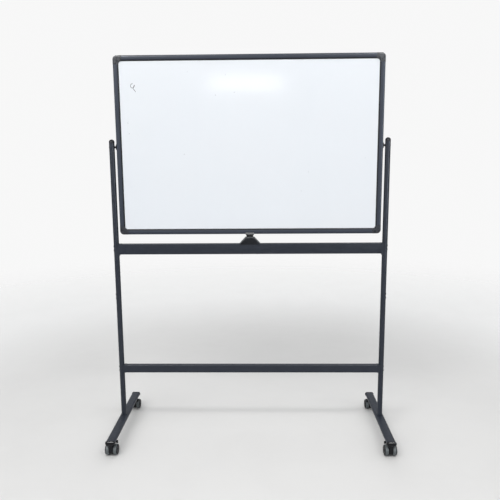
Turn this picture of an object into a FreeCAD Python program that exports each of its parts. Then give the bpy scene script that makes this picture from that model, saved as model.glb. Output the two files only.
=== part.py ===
import FreeCAD, Part
import math
import os
import Sketcher

# A rolling, reversible whiteboard: a framed board turns end over end between two posts that stand
# on castered feet, and a push-down catch on the middle rail holds it upright.
# Frame: X along the board, Y away from the front, Z up, origin on the floor under the centre.

V = FreeCAD.Vector
DOC = FreeCAD.newDocument("rolling_whiteboard")

DIMENSIONS = {
    # board
    "board_width": 1224.0,
    "board_height": 813.0,
    "board_bottom": 985.0,
    "frame_face": 26.0,
    "frame_depth": 22.0,
    "frame_inner_depth": 17.6,
    "frame_round": 7.0,
    "frame_crest": 15.0,
    "frame_crest_round": 30.0,
    "frame_lip_round": 1.0,
    "frame_wall": 2.0,
    "frame_chamber": 15.0,
    "frame_groove": 17.0,
    "corner_leg": 40.0,
    "corner_outer_round": 18.0,
    "corner_inner_round": 12.0,
    "corner_proud": 0.3,
    "corner_edge_round": 5.0,
    "corner_inner_edge_round": 2.5,
    "tab_length": 20.0,
    "tab_depth": 12.0,
    "tab_play": 0.5,
    "core_thickness": 14.0,
    "core_play": 0.2,
    "sheet_thickness": 0.5,
    "sheet_play": 0.1,
    # pivots
    "pin_radius": 4.0,
    "pin_play": 0.05,
    "pin_reach": 12.0,
    "hub_flange_radius": 13.4,
    "hub_nose_radius": 6.0,
    "hub_nose": 4.5,
    "hub_rim": 1.5,
    "hub_spigot_radius": 7.0,
    "collar_radius": 7.0,
    "collar_nose_radius": 4.6,
    "collar_length": 3.0,
    # posts
    "post_spacing": 1269.0,
    "post_radius": 12.5,
    "post_wall": 1.5,
    "post_top": 1411.0,
    "splice_height": 684.0,
    "cap_skirt": 3.2,
    "cap_radius": 12.8,
    "cap_crown": 0.4,
    "cap_plug": 8.0,
    "plug_height": 20.0,
    "bead_width": 2.5,
    "bead_height": 2.5,
    "sleeve_half": 40.0,
    "sleeve_wall": 3.0,
    # rails
    "rail_depth": 25.0,
    "rail_wall": 1.5,
    "rail_round": 3.0,
    "mid_rail_height": 50.0,
    "mid_rail_centre": 915.0,
    "low_rail_height": 38.0,
    "low_rail_centre": 321.0,
    "saddle_width": 10.0,
    "saddle_wrap": 6.0,
    "saddle_tongue": 30.0,
    "saddle_flare": 9.0,
    # fasteners
    "screw_radius": 3.0,
    "screw_play": 0.2,
    "screw_pitch": 19.0,
    "mid_screws_above": 3.0,
    "rail_screw_length": 50.0,
    "splice_screw_length": 5.0,
    "screw_head_radius": 4.8,
    "screw_head_top_radius": 3.2,
    "screw_head_height": 1.2,
    "socket_key_radius": 2.3,
    "socket_key_depth": 0.7,
    "foot_bolt_radius": 4.0,
    "foot_bolt_head_radius": 7.0,
    "foot_bolt_head_height": 4.0,
    "foot_bolt_length": 35.0,
    # feet
    "foot_length": 560.0,
    "foot_width": 42.0,
    "foot_height": 20.0,
    "foot_top": 78.0,
    "foot_wall": 1.5,
    "foot_round": 9.5,
    "foot_cap_nose": 9.0,
    "foot_cap_plug": 5.0,
    "foot_cap_wider": 2.0,
    "foot_cap_taller": 1.0,
    "foot_cap_round": 7.5,
    # casters
    "caster_setback": 23.0,
    "caster_trail": 11.0,
    "wheel_radius": 25.0,
    "wheel_inner": 9.5,
    "wheel_outer": 28.0,
    "tread_inner": 9.8,
    "tread_outer": 24.6,
    "tread_bore": 20.0,
    "tread_round": 2.6,
    "disc_radius": 22.8,
    "disc_inner": 24.9,
    "disc_round": 3.0,
    "disc_dish": 1.2,
    "axle_radius": 4.0,
    "axle_half": 25.0,
    "axle_play": 0.06,
    "axle_end_gap": 0.2,
    "fork_half": 8.5,
    "fork_radius": 22.5,
    "fork_front": 11.0,
    "fork_rear": 20.0,
    "flange_radius": 13.5,
    "flange_bottom": 50.6,
    "flange_top": 56.0,
    "stem_radius": 5.5,
    "stem_play": 0.08,
    "stem_bottom": 44.3,
    "stem_top": 76.0,
    "stem_bore_bottom": 44.0,
    "stem_chamfer": 1.0,
    "socket_radius": 7.5,
    "socket_flange_radius": 10.5,
    "socket_flange": 1.0,
    "socket_top": 76.3,
    "brake_pivot_y": 16.0,
    "brake_pivot_z": 53.5,
    "brake_lug_half": 6.0,
    "brake_lug_rear": 19.0,
    "brake_ear_radius": 2.4,
    "brake_ear_width": 3.0,
    "brake_pin_radius": 1.5,
    "brake_pin_play": 0.08,
    "brake_gap": 0.4,
    "brake_half": 24.0,
    "brake_plate_front": 19.6,
    "brake_plate_rear": 38.0,
    "brake_plate_bottom": 52.6,
    "brake_plate_top": 55.4,
    "brake_corner": 5.0,
    "shoe_inner": 11.0,
    "shoe_front": 30.0,
    "shoe_rear": 34.0,
    "shoe_bottom": 45.3,
    # catch
    "housing_half_base": 49.5,
    "housing_half_top": 20.5,
    "housing_height": 31.0,
    "housing_depth": 30.0,
    "housing_skirt": 3.0,
    "housing_bevel": 6.0,
    "housing_fit": 0.1,
    "cavity_half": 23.2,
    "cavity_depth": 25.0,
    "cavity_height": 22.3,
    "mouth_half": 18.6,
    "mouth_depth": 22.6,
    "lip_half": 19.5,
    "lip_rise": 8.0,
    "lip_inner": 11.5,
    "lip_top_outer": 12.8,
    "lip_outer": 17.0,
    "lip_drop": 2.0,
    "channel_gap": 0.4,
    "throat_top_half": 18.2,
    "throat_half": 14.5,
    "throat_depth": 22.0,
    "throat_height": 11.0,
    "lug_half": 22.0,
    "lug_top": 22.0,
    "lug_bottom": 19.0,
    "spring_radius": 7.0,
    "spring_wire": 0.7,
    "spring_turns": 5.0,
    "spring_recess_radius": 8.6,
    "spring_recess": 8.0,
    "latch_screw_x": 36.0,
    "latch_screw_radius": 2.0,
    "latch_screw_head_radius": 4.0,
    "latch_screw_head_height": 2.0,
    "latch_screw_bite": 9.0,
}

sheet = DOC.addObject("Spreadsheet::Sheet", "sizes")
for row, (alias, number) in enumerate(DIMENSIONS.items(), start=1):
    sheet.set(f"A{row}", alias)
    sheet.set(f"B{row}", str(number))
    sheet.setAlias(f"B{row}", alias)
DOC.recompute()


class Size:
    """A length: its number, and the sheet formula that gives it."""

    def __init__(self, value, formula):
        self.value = value
        self.formula = formula

    def __add__(self, other):
        other = size(other)
        return Size(self.value + other.value, f"({self.formula} + {other.formula})")

    def __sub__(self, other):
        other = size(other)
        return Size(self.value - other.value, f"({self.formula} - {other.formula})")

    def __mul__(self, other):
        other = size(other)
        return Size(self.value * other.value, f"({self.formula} * {other.formula})")

    def __truediv__(self, other):
        other = size(other)
        return Size(self.value / other.value, f"({self.formula} / {other.formula})")

    def __neg__(self):
        return Size(-self.value, f"(-1 * {self.formula})")

    __radd__ = __add__
    __rmul__ = __mul__


def size(number):
    """A plain number as a Size; a Size unchanged."""
    if isinstance(number, Size):
        return number
    return Size(float(number), f"({float(number)})")


class Sizes:
    """Every cell of the sheet, as an attribute."""

    def __init__(self):
        for alias, number in DIMENSIONS.items():
            setattr(self, alias, Size(number, f"sizes.{alias}"))


d = Sizes()
POST_X = d.post_spacing / 2
BOARD_X = d.board_width / 2
BOARD_TOP = d.board_bottom + d.board_height
PIVOT_Z = d.board_bottom + d.board_height / 2
FOOT_BOTTOM = d.foot_top - d.foot_height
STEM_Y = d.foot_length / 2 - d.caster_setback
RAIL_TOP = d.mid_rail_centre + d.mid_rail_height / 2
RAIL_BOTTOM = d.mid_rail_centre - d.mid_rail_height / 2
RAIL_END = POST_X - d.post_radius - d.saddle_width
SPLICE_SCREWS = (d.splice_height - d.screw_pitch / 2, d.splice_height + d.screw_pitch / 2)
MID_SCREWS_CENTRE = d.mid_rail_centre + d.mid_screws_above
MID_SCREWS = (MID_SCREWS_CENTRE - d.screw_pitch / 2, MID_SCREWS_CENTRE + d.screw_pitch / 2)
LOW_SCREWS = (d.low_rail_centre - d.screw_pitch / 2, d.low_rail_centre + d.screw_pitch / 2)
SPARE = 1.0
TOUCHING = 0.01
PARTS = []

TURNS = {
    "x": (V(0, 1, 0), 90),
    "y": (V(1, 0, 0), -90),
    "z": (V(0, 0, 1), 0),
}


def bind(item, **sizes):
    """Tie properties of an item to the sheet."""
    for name, number in sizes.items():
        item.setExpression(name, size(number).formula)


def place(item, x=0, y=0, z=0, turn=(V(0, 0, 1), 0)):
    """Turn an item about its own origin and put that origin at x, y, z."""
    item.Placement = FreeCAD.Placement(V(0, 0, 0), FreeCAD.Rotation(*turn))
    for letter, number in (("x", x), ("y", y), ("z", z)):
        item.setExpression(f"Placement.Base.{letter}", size(number).formula)
    return item


def piece(item, name):
    """Give an item its node name and keep it for export."""
    item.Label = name
    PARTS.append(item)
    return item


def box(x, y, z):
    """A box between the low and high value on each axis."""
    item = DOC.addObject("Part::Box", "Box")
    x_low, x_high, y_low, y_high, z_low, z_high = (size(number) for number in (*x, *y, *z))
    bind(item, Length=x_high - x_low, Width=y_high - y_low, Height=z_high - z_low)
    return place(item, x_low, y_low, z_low)


def cylinder(radius, base, length, axis="z"):
    """A cylinder that starts at base and runs along the positive axis."""
    item = DOC.addObject("Part::Cylinder", "Cylinder")
    bind(item, Radius=radius, Height=length)
    return place(item, *base, TURNS[axis])


def cone(low_radius, high_radius, base, length, axis="z"):
    """A cone frustum that starts at base and runs along the positive axis."""
    item = DOC.addObject("Part::Cone", "Cone")
    bind(item, Radius1=low_radius, Radius2=high_radius, Height=length)
    return place(item, *base, TURNS[axis])


def prism(radius, base, length, axis="z"):
    """A hexagonal prism with its corners on the radius."""
    item = DOC.addObject("Part::Prism", "Prism")
    item.Polygon = 6
    bind(item, Circumradius=radius, Height=length)
    return place(item, *base, TURNS[axis])


def fuse(*items):
    """One solid from touching items."""
    item = DOC.addObject("Part::MultiFuse", "Fuse")
    item.Shapes = list(items)
    item.Refine = True
    return item


def cut(base, *tools):
    """The base without the tools."""
    item = DOC.addObject("Part::Cut", "Cut")
    item.Base = base
    item.Tool = tools[0] if len(tools) == 1 else group(*tools)
    item.Refine = True
    return item


def common(first, second):
    """What two items share."""
    item = DOC.addObject("Part::Common", "Common")
    item.Base = first
    item.Tool = second
    return item


def group(*items):
    """Separate solids kept in one node."""
    item = DOC.addObject("Part::Compound", "Group")
    item.Links = list(items)
    return item


def mirror(source, normal, height=0):
    """A mirror image across a plane through the origin, or across one at a height."""
    item = DOC.addObject("Part::Mirroring", "Mirror")
    item.Source = source
    item.Normal = normal
    item.setExpression("Base.z", size(height).formula)
    return item


def both_sides(source):
    """The source on the right and its image on the left, as one node."""
    return group(source, mirror(source, V(1, 0, 0)))


def four_ways(source):
    """The source and its images in front of, behind, left and right of the centre."""
    behind = mirror(source, V(0, 1, 0))
    return group(source, behind, mirror(source, V(1, 0, 0)), mirror(behind, V(1, 0, 0)))


def new_body():
    return DOC.addObject("PartDesign::Body", "Body")


def sketch_on(body, plane, offset=0):
    """A sketch on one of the body's own origin planes, moved along the plane's normal."""
    sketch = body.newObject("Sketcher::SketchObject", "Sketch")
    support = next(item for item in body.Origin.OriginFeatures if item.Role == f"{plane}_Plane")
    sketch.AttachmentSupport = [(support, "")]
    sketch.MapMode = "FlatFace"
    sketch.setExpression("AttachmentOffset.Base.z", size(offset).formula)
    return sketch


def fix_point(sketch, geometry, place_on, x, y):
    """Hold a sketch point at x, y from the origin, by formula."""
    for kind, number, axis in (("DistanceX", x, -2), ("DistanceY", y, -1)):
        if number.value == 0:
            sketch.addConstraint(Sketcher.Constraint("PointOnObject", geometry, place_on, axis))
            continue
        index = sketch.addConstraint(
            Sketcher.Constraint(kind, -1, 1, geometry, place_on, number.value)
        )
        sketch.setExpression(f"Constraints[{index}]", number.formula)


def outline(sketch, corners):
    """A closed outline through the corners, each (x, y) or (x, y, round radius)."""
    corners = [tuple(size(number) for number in corner) for corner in corners]
    count = len(corners)
    points = [V(corner[0].value, corner[1].value, 0) for corner in corners]
    ends = []
    for index, corner in enumerate(corners):
        point = points[index]
        before = (points[index - 1] - point).normalize()
        after = (points[(index + 1) % count] - point).normalize()
        if len(corner) == 2:
            ends.append((point, point, None))
            continue
        radius = corner[2].value
        half_angle = before.getAngle(after) / 2
        reach = radius / math.tan(half_angle)
        centre = point + (before + after).normalize() * (radius / math.sin(half_angle))
        ends.append((point + before * reach, point + after * reach, centre))
    lines = []
    for index in range(count):
        start = ends[index][1]
        finish = ends[(index + 1) % count][0]
        lines.append(sketch.addGeometry(Part.LineSegment(start, finish)))
    for index, corner in enumerate(corners):
        arriving = lines[index - 1]
        leaving = lines[index]
        start, finish, centre = ends[index]
        if centre is None:
            sketch.addConstraint(Sketcher.Constraint("Coincident", arriving, 2, leaving, 1))
            fix_point(sketch, leaving, 1, corner[0], corner[1])
            continue
        vertex = sketch.addGeometry(Part.Point(points[index]), True)
        fix_point(sketch, vertex, 1, corner[0], corner[1])
        sketch.addConstraint(Sketcher.Constraint("PointOnObject", vertex, 1, arriving))
        sketch.addConstraint(Sketcher.Constraint("PointOnObject", vertex, 1, leaving))
        left_turn = (start - points[index]).cross(finish - points[index]).z < 0
        first, last = (start, finish) if left_turn else (finish, start)
        angles = [math.atan2(end.y - centre.y, end.x - centre.x) for end in (first, last)]
        if angles[1] < angles[0]:
            angles[1] += 2 * math.pi
        circle = Part.Circle(centre, V(0, 0, 1), corner[2].value)
        arc = sketch.addGeometry(Part.ArcOfCircle(circle, *angles))
        arrive_end, leave_end = (1, 2) if left_turn else (2, 1)
        sketch.addConstraint(Sketcher.Constraint("Tangent", arriving, 2, arc, arrive_end))
        sketch.addConstraint(Sketcher.Constraint("Tangent", leaving, 1, arc, leave_end))
        radius_index = sketch.addConstraint(
            Sketcher.Constraint("Radius", arc, corner[2].value)
        )
        sketch.setExpression(f"Constraints[{radius_index}]", corner[2].formula)
    return sketch


def rectangle(sketch, x_low, x_high, y_low, y_high, *radius):
    """A rectangle outline, with rounded corners where a radius is given."""
    return outline(sketch, [
        (x_low, y_low, *radius),
        (x_high, y_low, *radius),
        (x_high, y_high, *radius),
        (x_low, y_high, *radius),
    ])


def pad(body, sketch, length, side="Symmetric"):
    """Thicken a sketch, by default half the length to each side."""
    feature = body.newObject("PartDesign::Pad", "Pad")
    feature.Profile = sketch
    feature.SideType = side
    bind(feature, Length=length)
    return feature


def pocket(body, sketch, length):
    """Cut a sketch out of the body, half the length to each side."""
    DOC.recompute()
    before = body.Shape.Volume
    feature = body.newObject("PartDesign::Pocket", "Pocket")
    feature.Profile = sketch
    feature.SideType = "Symmetric"
    bind(feature, Length=length)
    DOC.recompute()
    if body.Shape.Volume > before - 1:
        raise RuntimeError(f"{body.Name}: a pocket cuts nothing")
    return feature


def revolve(body, sketch, axis="H_Axis"):
    """Turn a sketch a whole turn about one of its axes."""
    feature = body.newObject("PartDesign::Revolution", "Revolution")
    feature.Profile = sketch
    feature.ReferenceAxis = (sketch, [axis])
    feature.Angle = 360
    return feature


def round_edges(body, feature, radius, chosen):
    """Fillet the edges of a feature that the test picks."""
    DOC.recompute()
    names = [f"Edge{index}" for index, edge in enumerate(feature.Shape.Edges, 1) if chosen(edge)]
    if not names:
        raise RuntimeError(f"{body.Name}: no edge to round")
    fillet = body.newObject("PartDesign::Fillet", "Fillet")
    fillet.Base = (feature, names)
    bind(fillet, Radius=radius)
    return fillet


def side_name(side):
    return "left" if side < 0 else "right"


# posts -----------------------------------------------------------------------------------------

def post_tube(side, low, high):
    """A round tube of a post between two heights."""
    height = high - low
    base = (side * POST_X, 0, low)
    bore = cylinder(d.post_radius - d.post_wall, base, height)
    return cut(cylinder(d.post_radius, base, height), bore)


def outward_hole(side, radius, height):
    """A drill along X from the post's axis out through its outer wall."""
    low = side * POST_X if side > 0 else -POST_X - d.post_radius * 2
    return cylinder(radius, (low, 0, height), d.post_radius * 2, "x")


def through_hole(side, radius, height):
    """A drill along X through both walls of a post."""
    return cylinder(radius, (side * POST_X - d.post_radius * 2, 0, height), d.post_radius * 4, "x")


def lower_post(side):
    """Foot to splice: tube, welded bottom plug with its thread, and the weld bead."""
    tube = post_tube(side, d.foot_top, d.splice_height)
    base = (side * POST_X, 0, d.foot_top)
    plug = cylinder(d.post_radius - d.post_wall, base, d.plug_height)
    bead = cone(d.post_radius + d.bead_width, d.post_radius, base, d.bead_height)
    solid = fuse(tube, plug, cut(bead, cylinder(d.post_radius - d.post_wall, base, d.bead_height)))
    clear = d.screw_radius + d.screw_play
    holes = [through_hole(side, clear, height) for height in LOW_SCREWS]
    holes.append(outward_hole(side, clear, SPLICE_SCREWS[0]))
    holes.append(cylinder(d.foot_bolt_radius, base, d.plug_height))
    return piece(cut(solid, *holes), f"post_lower_{side_name(side)}")


def upper_post(side):
    """Splice to cap, with the pivot pin's hole."""
    tube = post_tube(side, d.splice_height, d.post_top)
    clear = d.screw_radius + d.screw_play
    holes = [through_hole(side, clear, height) for height in MID_SCREWS]
    holes.append(outward_hole(side, clear, SPLICE_SCREWS[1]))
    holes.append(through_hole(side, d.pin_radius, PIVOT_Z))
    return piece(cut(tube, *holes), f"post_upper_{side_name(side)}")


def splice_sleeves():
    """The tubes inside the posts that join their two halves."""
    low = d.splice_height - d.sleeve_half
    radius = d.post_radius - d.post_wall
    sleeve = cut(
        cylinder(radius, (POST_X, 0, low), d.sleeve_half * 2),
        cylinder(radius - d.sleeve_wall, (POST_X, 0, low), d.sleeve_half * 2),
        *[outward_hole(1, d.screw_radius, height) for height in SPLICE_SCREWS],
    )
    return piece(both_sides(sleeve), "splice_sleeves")


def post_caps():
    """Domed plugs on the post tops."""
    body = new_body()
    bore = d.post_radius - d.post_wall
    dome_foot = d.cap_skirt
    profile = outline(sketch_on(body, "XZ"), [
        (0, -d.cap_plug),
        (bore, -d.cap_plug),
        (bore, 0),
        (d.cap_radius, 0),
        (d.cap_radius, dome_foot + d.cap_radius, d.cap_radius - d.cap_crown),
        (0, dome_foot + d.cap_radius),
    ])
    revolve(body, profile, "V_Axis")
    place(body, POST_X, 0, d.post_top)
    return piece(both_sides(body), "post_caps")


# rails -----------------------------------------------------------------------------------------

def rail(height, centre):
    """A rectangular tube along X between the saddles."""
    body = new_body()
    half_depth = d.rail_depth / 2
    half_height = height / 2
    outer = rectangle(
        sketch_on(body, "YZ"), -half_depth, half_depth,
        centre - half_height, centre + half_height, d.rail_round,
    )
    pad(body, outer, RAIL_END * 2)
    wall = d.rail_wall
    inner = rectangle(
        sketch_on(body, "YZ"), wall - half_depth, half_depth - wall,
        centre - half_height + wall, centre + half_height - wall, d.rail_round - wall,
    )
    pocket(body, inner, RAIL_END * 2 + SPARE)
    return body


def rail_saddle(height, centre, screws, flare):
    """An end block: a collar that fits the post, and a tongue inside the rail."""
    body = new_body()
    bottom = centre - height / 2
    top = centre + height / 2
    outer = POST_X - d.saddle_wrap
    collar = [(RAIL_END, bottom), (RAIL_END, top), (outer, top)]
    if flare:
        corner = POST_X - d.post_radius
        collar += [
            (outer, bottom - d.saddle_flare),
            (corner - SPARE / 2, bottom - d.saddle_flare),
            (corner - SPARE / 2, bottom, d.saddle_flare - SPARE),
        ]
    else:
        collar.append((outer, bottom))
    pad(body, outline(sketch_on(body, "XZ"), collar), d.rail_depth)
    wall = d.rail_wall
    half_depth = d.rail_depth / 2 - d.rail_round
    tongue = box(
        (RAIL_END - d.saddle_tongue, RAIL_END),
        (-half_depth, half_depth),
        (bottom + wall, top - wall),
    )
    drills = [
        cylinder(d.screw_radius, (RAIL_END - d.saddle_tongue, 0, level), d.saddle_tongue * 2, "x")
        for level in screws
    ]
    post = cylinder(d.post_radius, (POST_X, 0, bottom - d.saddle_flare * 2), height * 2)
    return both_sides(cut(fuse(body, tongue), post, *drills))


def mid_rail():
    """The flat rail that carries the catch."""
    tube = rail(d.mid_rail_height, d.mid_rail_centre)
    holes = [
        cylinder(d.latch_screw_radius, (x, 0, RAIL_BOTTOM - SPARE), d.mid_rail_height + 2 * SPARE)
        for x in (d.latch_screw_x, -d.latch_screw_x)
    ]
    return piece(cut(tube, *holes), "mid_rail")


def low_rail():
    """The plain rail near the feet."""
    return piece(rail(d.low_rail_height, d.low_rail_centre), "low_rail")


def button_screw(length, height):
    """A button-head screw from the post's outer side inwards."""
    face = POST_X + d.post_radius
    head = cone(
        d.screw_head_radius, d.screw_head_top_radius, (face, 0, height), d.screw_head_height, "x"
    )
    key_start = face + d.screw_head_height - d.socket_key_depth
    key = prism(d.socket_key_radius, (key_start, 0, height), d.socket_key_depth, "x")
    shank = cylinder(d.screw_radius, (face - length, 0, height), length, "x")
    return cut(fuse(shank, head), key)


def rail_screws():
    """Eight screws, two at each rail end."""
    right = [button_screw(d.rail_screw_length, height) for height in (*MID_SCREWS, *LOW_SCREWS)]
    left = [mirror(screw, V(1, 0, 0)) for screw in right]
    return piece(group(*right, *left), "rail_screws")


def splice_screws():
    """Four short screws, one in each post half at its splice."""
    right = [button_screw(d.splice_screw_length, height) for height in SPLICE_SCREWS]
    left = [mirror(screw, V(1, 0, 0)) for screw in right]
    return piece(group(*right, *left), "splice_screws")


# feet ------------------------------------------------------------------------------------------

def foot(side):
    """A flat oval tube along Y, drilled for its post bolt and its caster sockets."""
    body = new_body()
    half_width = d.foot_width / 2
    x_low = side * POST_X - half_width
    x_high = side * POST_X + half_width
    length = d.foot_length - d.foot_cap_nose * 2
    shell = rectangle(
        sketch_on(body, "XZ"), x_low, x_high, FOOT_BOTTOM, d.foot_top, d.foot_round
    )
    pad(body, shell, length)
    wall = d.foot_wall
    bore = rectangle(
        sketch_on(body, "XZ"), x_low + wall, x_high - wall,
        FOOT_BOTTOM + wall, d.foot_top - wall, d.foot_round - wall,
    )
    pocket(body, bore, length + SPARE)
    holes = [
        cylinder(d.socket_radius, (side * POST_X, y, FOOT_BOTTOM - SPARE), SPARE + wall * 2)
        for y in (STEM_Y, -STEM_Y)
    ]
    holes.append(cylinder(
        d.foot_bolt_radius, (side * POST_X, 0, FOOT_BOTTOM - SPARE), d.foot_height + 2 * SPARE
    ))
    return piece(cut(body, *holes), f"foot_{side_name(side)}")


def foot_end_caps():
    """Moulded noses on the four ends of the feet, a little larger than the tube."""
    body = new_body()
    half_width = d.foot_width / 2
    end = d.foot_length / 2
    wall = d.foot_wall
    nose = rectangle(
        sketch_on(body, "XZ", -end),
        POST_X - half_width - d.foot_cap_wider, POST_X + half_width + d.foot_cap_wider,
        FOOT_BOTTOM - d.foot_cap_taller, d.foot_top + d.foot_cap_taller,
        d.foot_round + d.foot_cap_taller,
    )
    nose_pad = pad(body, nose, d.foot_cap_nose, "One side")
    round_edges(
        body, nose_pad, d.foot_cap_round,
        lambda edge: min(vertex.Y for vertex in edge.Vertexes) > end.value - TOUCHING,
    )
    plug = rectangle(
        sketch_on(body, "XZ", -(end - d.foot_cap_nose)),
        POST_X - half_width + wall, POST_X + half_width - wall,
        FOOT_BOTTOM + wall, d.foot_top - wall, d.foot_round - wall,
    )
    pad(body, plug, d.foot_cap_plug, "One side")
    return piece(four_ways(body), "foot_end_caps")


def foot_bolts():
    """Hexagon bolts from under the feet up into the post plugs."""
    head = prism(
        d.foot_bolt_head_radius, (POST_X, 0, FOOT_BOTTOM - d.foot_bolt_head_height),
        d.foot_bolt_head_height,
    )
    shank = cylinder(d.foot_bolt_radius, (POST_X, 0, FOOT_BOTTOM), d.foot_bolt_length)
    return piece(both_sides(fuse(head, shank)), "foot_bolts")


# casters ---------------------------------------------------------------------------------------

def caster_sockets():
    """Flanged sleeves in the feet that grip the caster stems."""
    sleeve = cylinder(d.socket_radius, (POST_X, STEM_Y, FOOT_BOTTOM), d.socket_top - FOOT_BOTTOM)
    flange = cylinder(
        d.socket_flange_radius, (POST_X, STEM_Y, FOOT_BOTTOM - d.socket_flange), d.socket_flange
    )
    bore = cylinder(d.stem_radius, (POST_X, STEM_Y, d.stem_bottom), d.foot_height * 2)
    return piece(four_ways(cut(fuse(sleeve, flange), bore)), "caster_sockets")


def caster_stems():
    """Stems held in the sockets; the casters swivel on their lower ends."""
    straight = d.stem_top - d.stem_chamfer - d.stem_bottom
    shank = cylinder(d.stem_radius, (POST_X, STEM_Y, d.stem_bottom), straight)
    tip = cone(
        d.stem_radius, d.stem_radius - d.stem_chamfer,
        (POST_X, STEM_Y, d.stem_top - d.stem_chamfer), d.stem_chamfer,
    )
    return piece(four_ways(fuse(shank, tip)), "caster_stems")


def caster_frame(x_side, y_side, forward=0, height=0, turn=0):
    """Where a caster piece goes: each caster's own Y axis points to the middle of its foot."""
    half_turn = 180 if y_side > 0 else 0
    y = y_side * (STEM_Y - forward)
    return x_side * POST_X, y, height, (V(0, 0, 1), half_turn + turn)


def caster_body(name, *spot):
    """The central web between the wheels, with the swivel head and the brake's lug."""
    body = new_body()
    axle_z = d.wheel_radius
    neck = outline(sketch_on(body, "YZ"), [
        (-d.fork_front, d.flange_bottom),
        (-d.fork_front, axle_z, d.fork_half),
        (d.caster_trail, axle_z - d.fork_half),
        (d.fork_rear, axle_z),
        (d.fork_rear, d.flange_bottom),
    ])
    pad(body, neck, d.fork_half * 2)
    web = cylinder(
        d.fork_radius, (-d.fork_half, d.caster_trail, axle_z), d.fork_half * 2, "x"
    )
    head = cylinder(d.flange_radius, (0, 0, d.flange_bottom), d.flange_top - d.flange_bottom)
    neck_top = box(
        (-d.brake_lug_half, d.brake_lug_half), (0, d.brake_lug_rear), (axle_z, d.flange_top)
    )
    solid = cut(
        fuse(body, web, head, neck_top),
        cylinder(d.stem_radius + d.stem_play, (0, 0, d.stem_bore_bottom), d.foot_height),
        cylinder(d.axle_radius, (-d.fork_half * 2, d.caster_trail, axle_z), d.fork_half * 4, "x"),
        cylinder(
            d.brake_pin_radius + d.brake_pin_play,
            (-d.fork_half * 2, d.brake_pivot_y, d.brake_pivot_z), d.fork_half * 4, "x",
        ),
    )
    return piece(place(solid, *caster_frame(*spot)), f"{name}_body")


def caster_axle(name, *spot):
    axle = cylinder(d.axle_radius, (-d.axle_half, 0, 0), d.axle_half * 2, "x")
    item = group(axle)
    spot = caster_frame(*spot, d.caster_trail, d.wheel_radius)
    return piece(place(item, *spot), f"{name}_axle")


def wheel_hub(name, side, *spot):
    """A wheel's core: barrel under the tread, and the outer disc with its dished face."""
    body = new_body()
    bore = d.axle_radius + d.axle_play
    rim = d.disc_radius - d.disc_round * 2
    boss = d.axle_radius * 2
    profile = outline(sketch_on(body, "XY"), [
        (d.wheel_inner, bore),
        (d.wheel_inner, d.tread_bore),
        (d.disc_inner, d.tread_bore),
        (d.disc_inner, d.disc_radius),
        (d.wheel_outer, d.disc_radius, d.disc_round),
        (d.wheel_outer, rim),
        (d.wheel_outer - d.disc_dish, rim - d.disc_dish),
        (d.wheel_outer - d.disc_dish, boss),
        (d.wheel_outer, boss - d.disc_dish),
        (d.wheel_outer, 0),
        (d.axle_half + d.axle_end_gap, 0),
        (d.axle_half + d.axle_end_gap, bore),
    ])
    revolve(body, profile)
    turn = 0 if side == "b" else 180
    place(body, *caster_frame(*spot, d.caster_trail, d.wheel_radius, turn))
    return piece(body, f"{name}_hub_{side}")


def wheel_tread(name, side, *spot):
    """A wheel's soft tyre."""
    body = new_body()
    profile = outline(sketch_on(body, "XY"), [
        (d.tread_inner, d.tread_bore),
        (d.tread_inner, d.wheel_radius, d.tread_round),
        (d.tread_outer, d.wheel_radius, d.tread_round),
        (d.tread_outer, d.tread_bore),
    ])
    revolve(body, profile)
    turn = 0 if side == "b" else 180
    place(body, *caster_frame(*spot, d.caster_trail, d.wheel_radius, turn))
    return piece(body, f"{name}_tread_{side}")


def caster_brake(name, *spot):
    """The foot lever over the trailing side: plate, two shoes, two ears and their pin."""
    body = new_body()
    plate = rectangle(
        sketch_on(body, "XY", d.brake_plate_bottom), -d.brake_half, d.brake_half,
        d.brake_plate_front, d.brake_plate_rear, d.brake_corner,
    )
    pad(body, plate, d.brake_plate_top - d.brake_plate_bottom, "One side")
    solids = [body]
    ear_x = d.brake_lug_half + d.brake_gap
    pivot = (d.brake_pivot_y, d.brake_pivot_z)
    for low, shoe_low in (
        (ear_x, d.shoe_inner),
        (-ear_x - d.brake_ear_width, -d.brake_half),
    ):
        solids.append(cylinder(d.brake_ear_radius, (low, *pivot), d.brake_ear_width, "x"))
        solids.append(box(
            (low, low + d.brake_ear_width),
            (d.brake_pivot_y, d.brake_plate_front + d.brake_corner),
            (d.brake_plate_bottom, d.brake_plate_top),
        ))
        solids.append(box(
            (shoe_low, shoe_low + d.brake_half - d.shoe_inner),
            (d.shoe_front, d.shoe_rear),
            (d.shoe_bottom, d.brake_plate_bottom),
        ))
    pin_half = ear_x + d.brake_ear_width
    solids.append(cylinder(d.brake_pin_radius, (-pin_half, *pivot), pin_half * 2, "x"))
    item = fuse(*solids)
    return piece(place(item, *caster_frame(*spot)), f"{name}_brake")


def caster(name, x_side, y_side):
    """All pieces of one twin-wheel caster."""
    caster_body(name, x_side, y_side)
    caster_axle(name, x_side, y_side)
    caster_brake(name, x_side, y_side)
    for side in ("a", "b"):
        wheel_hub(name, side, x_side, y_side)
        wheel_tread(name, side, x_side, y_side)


# catch -----------------------------------------------------------------------------------------

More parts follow.
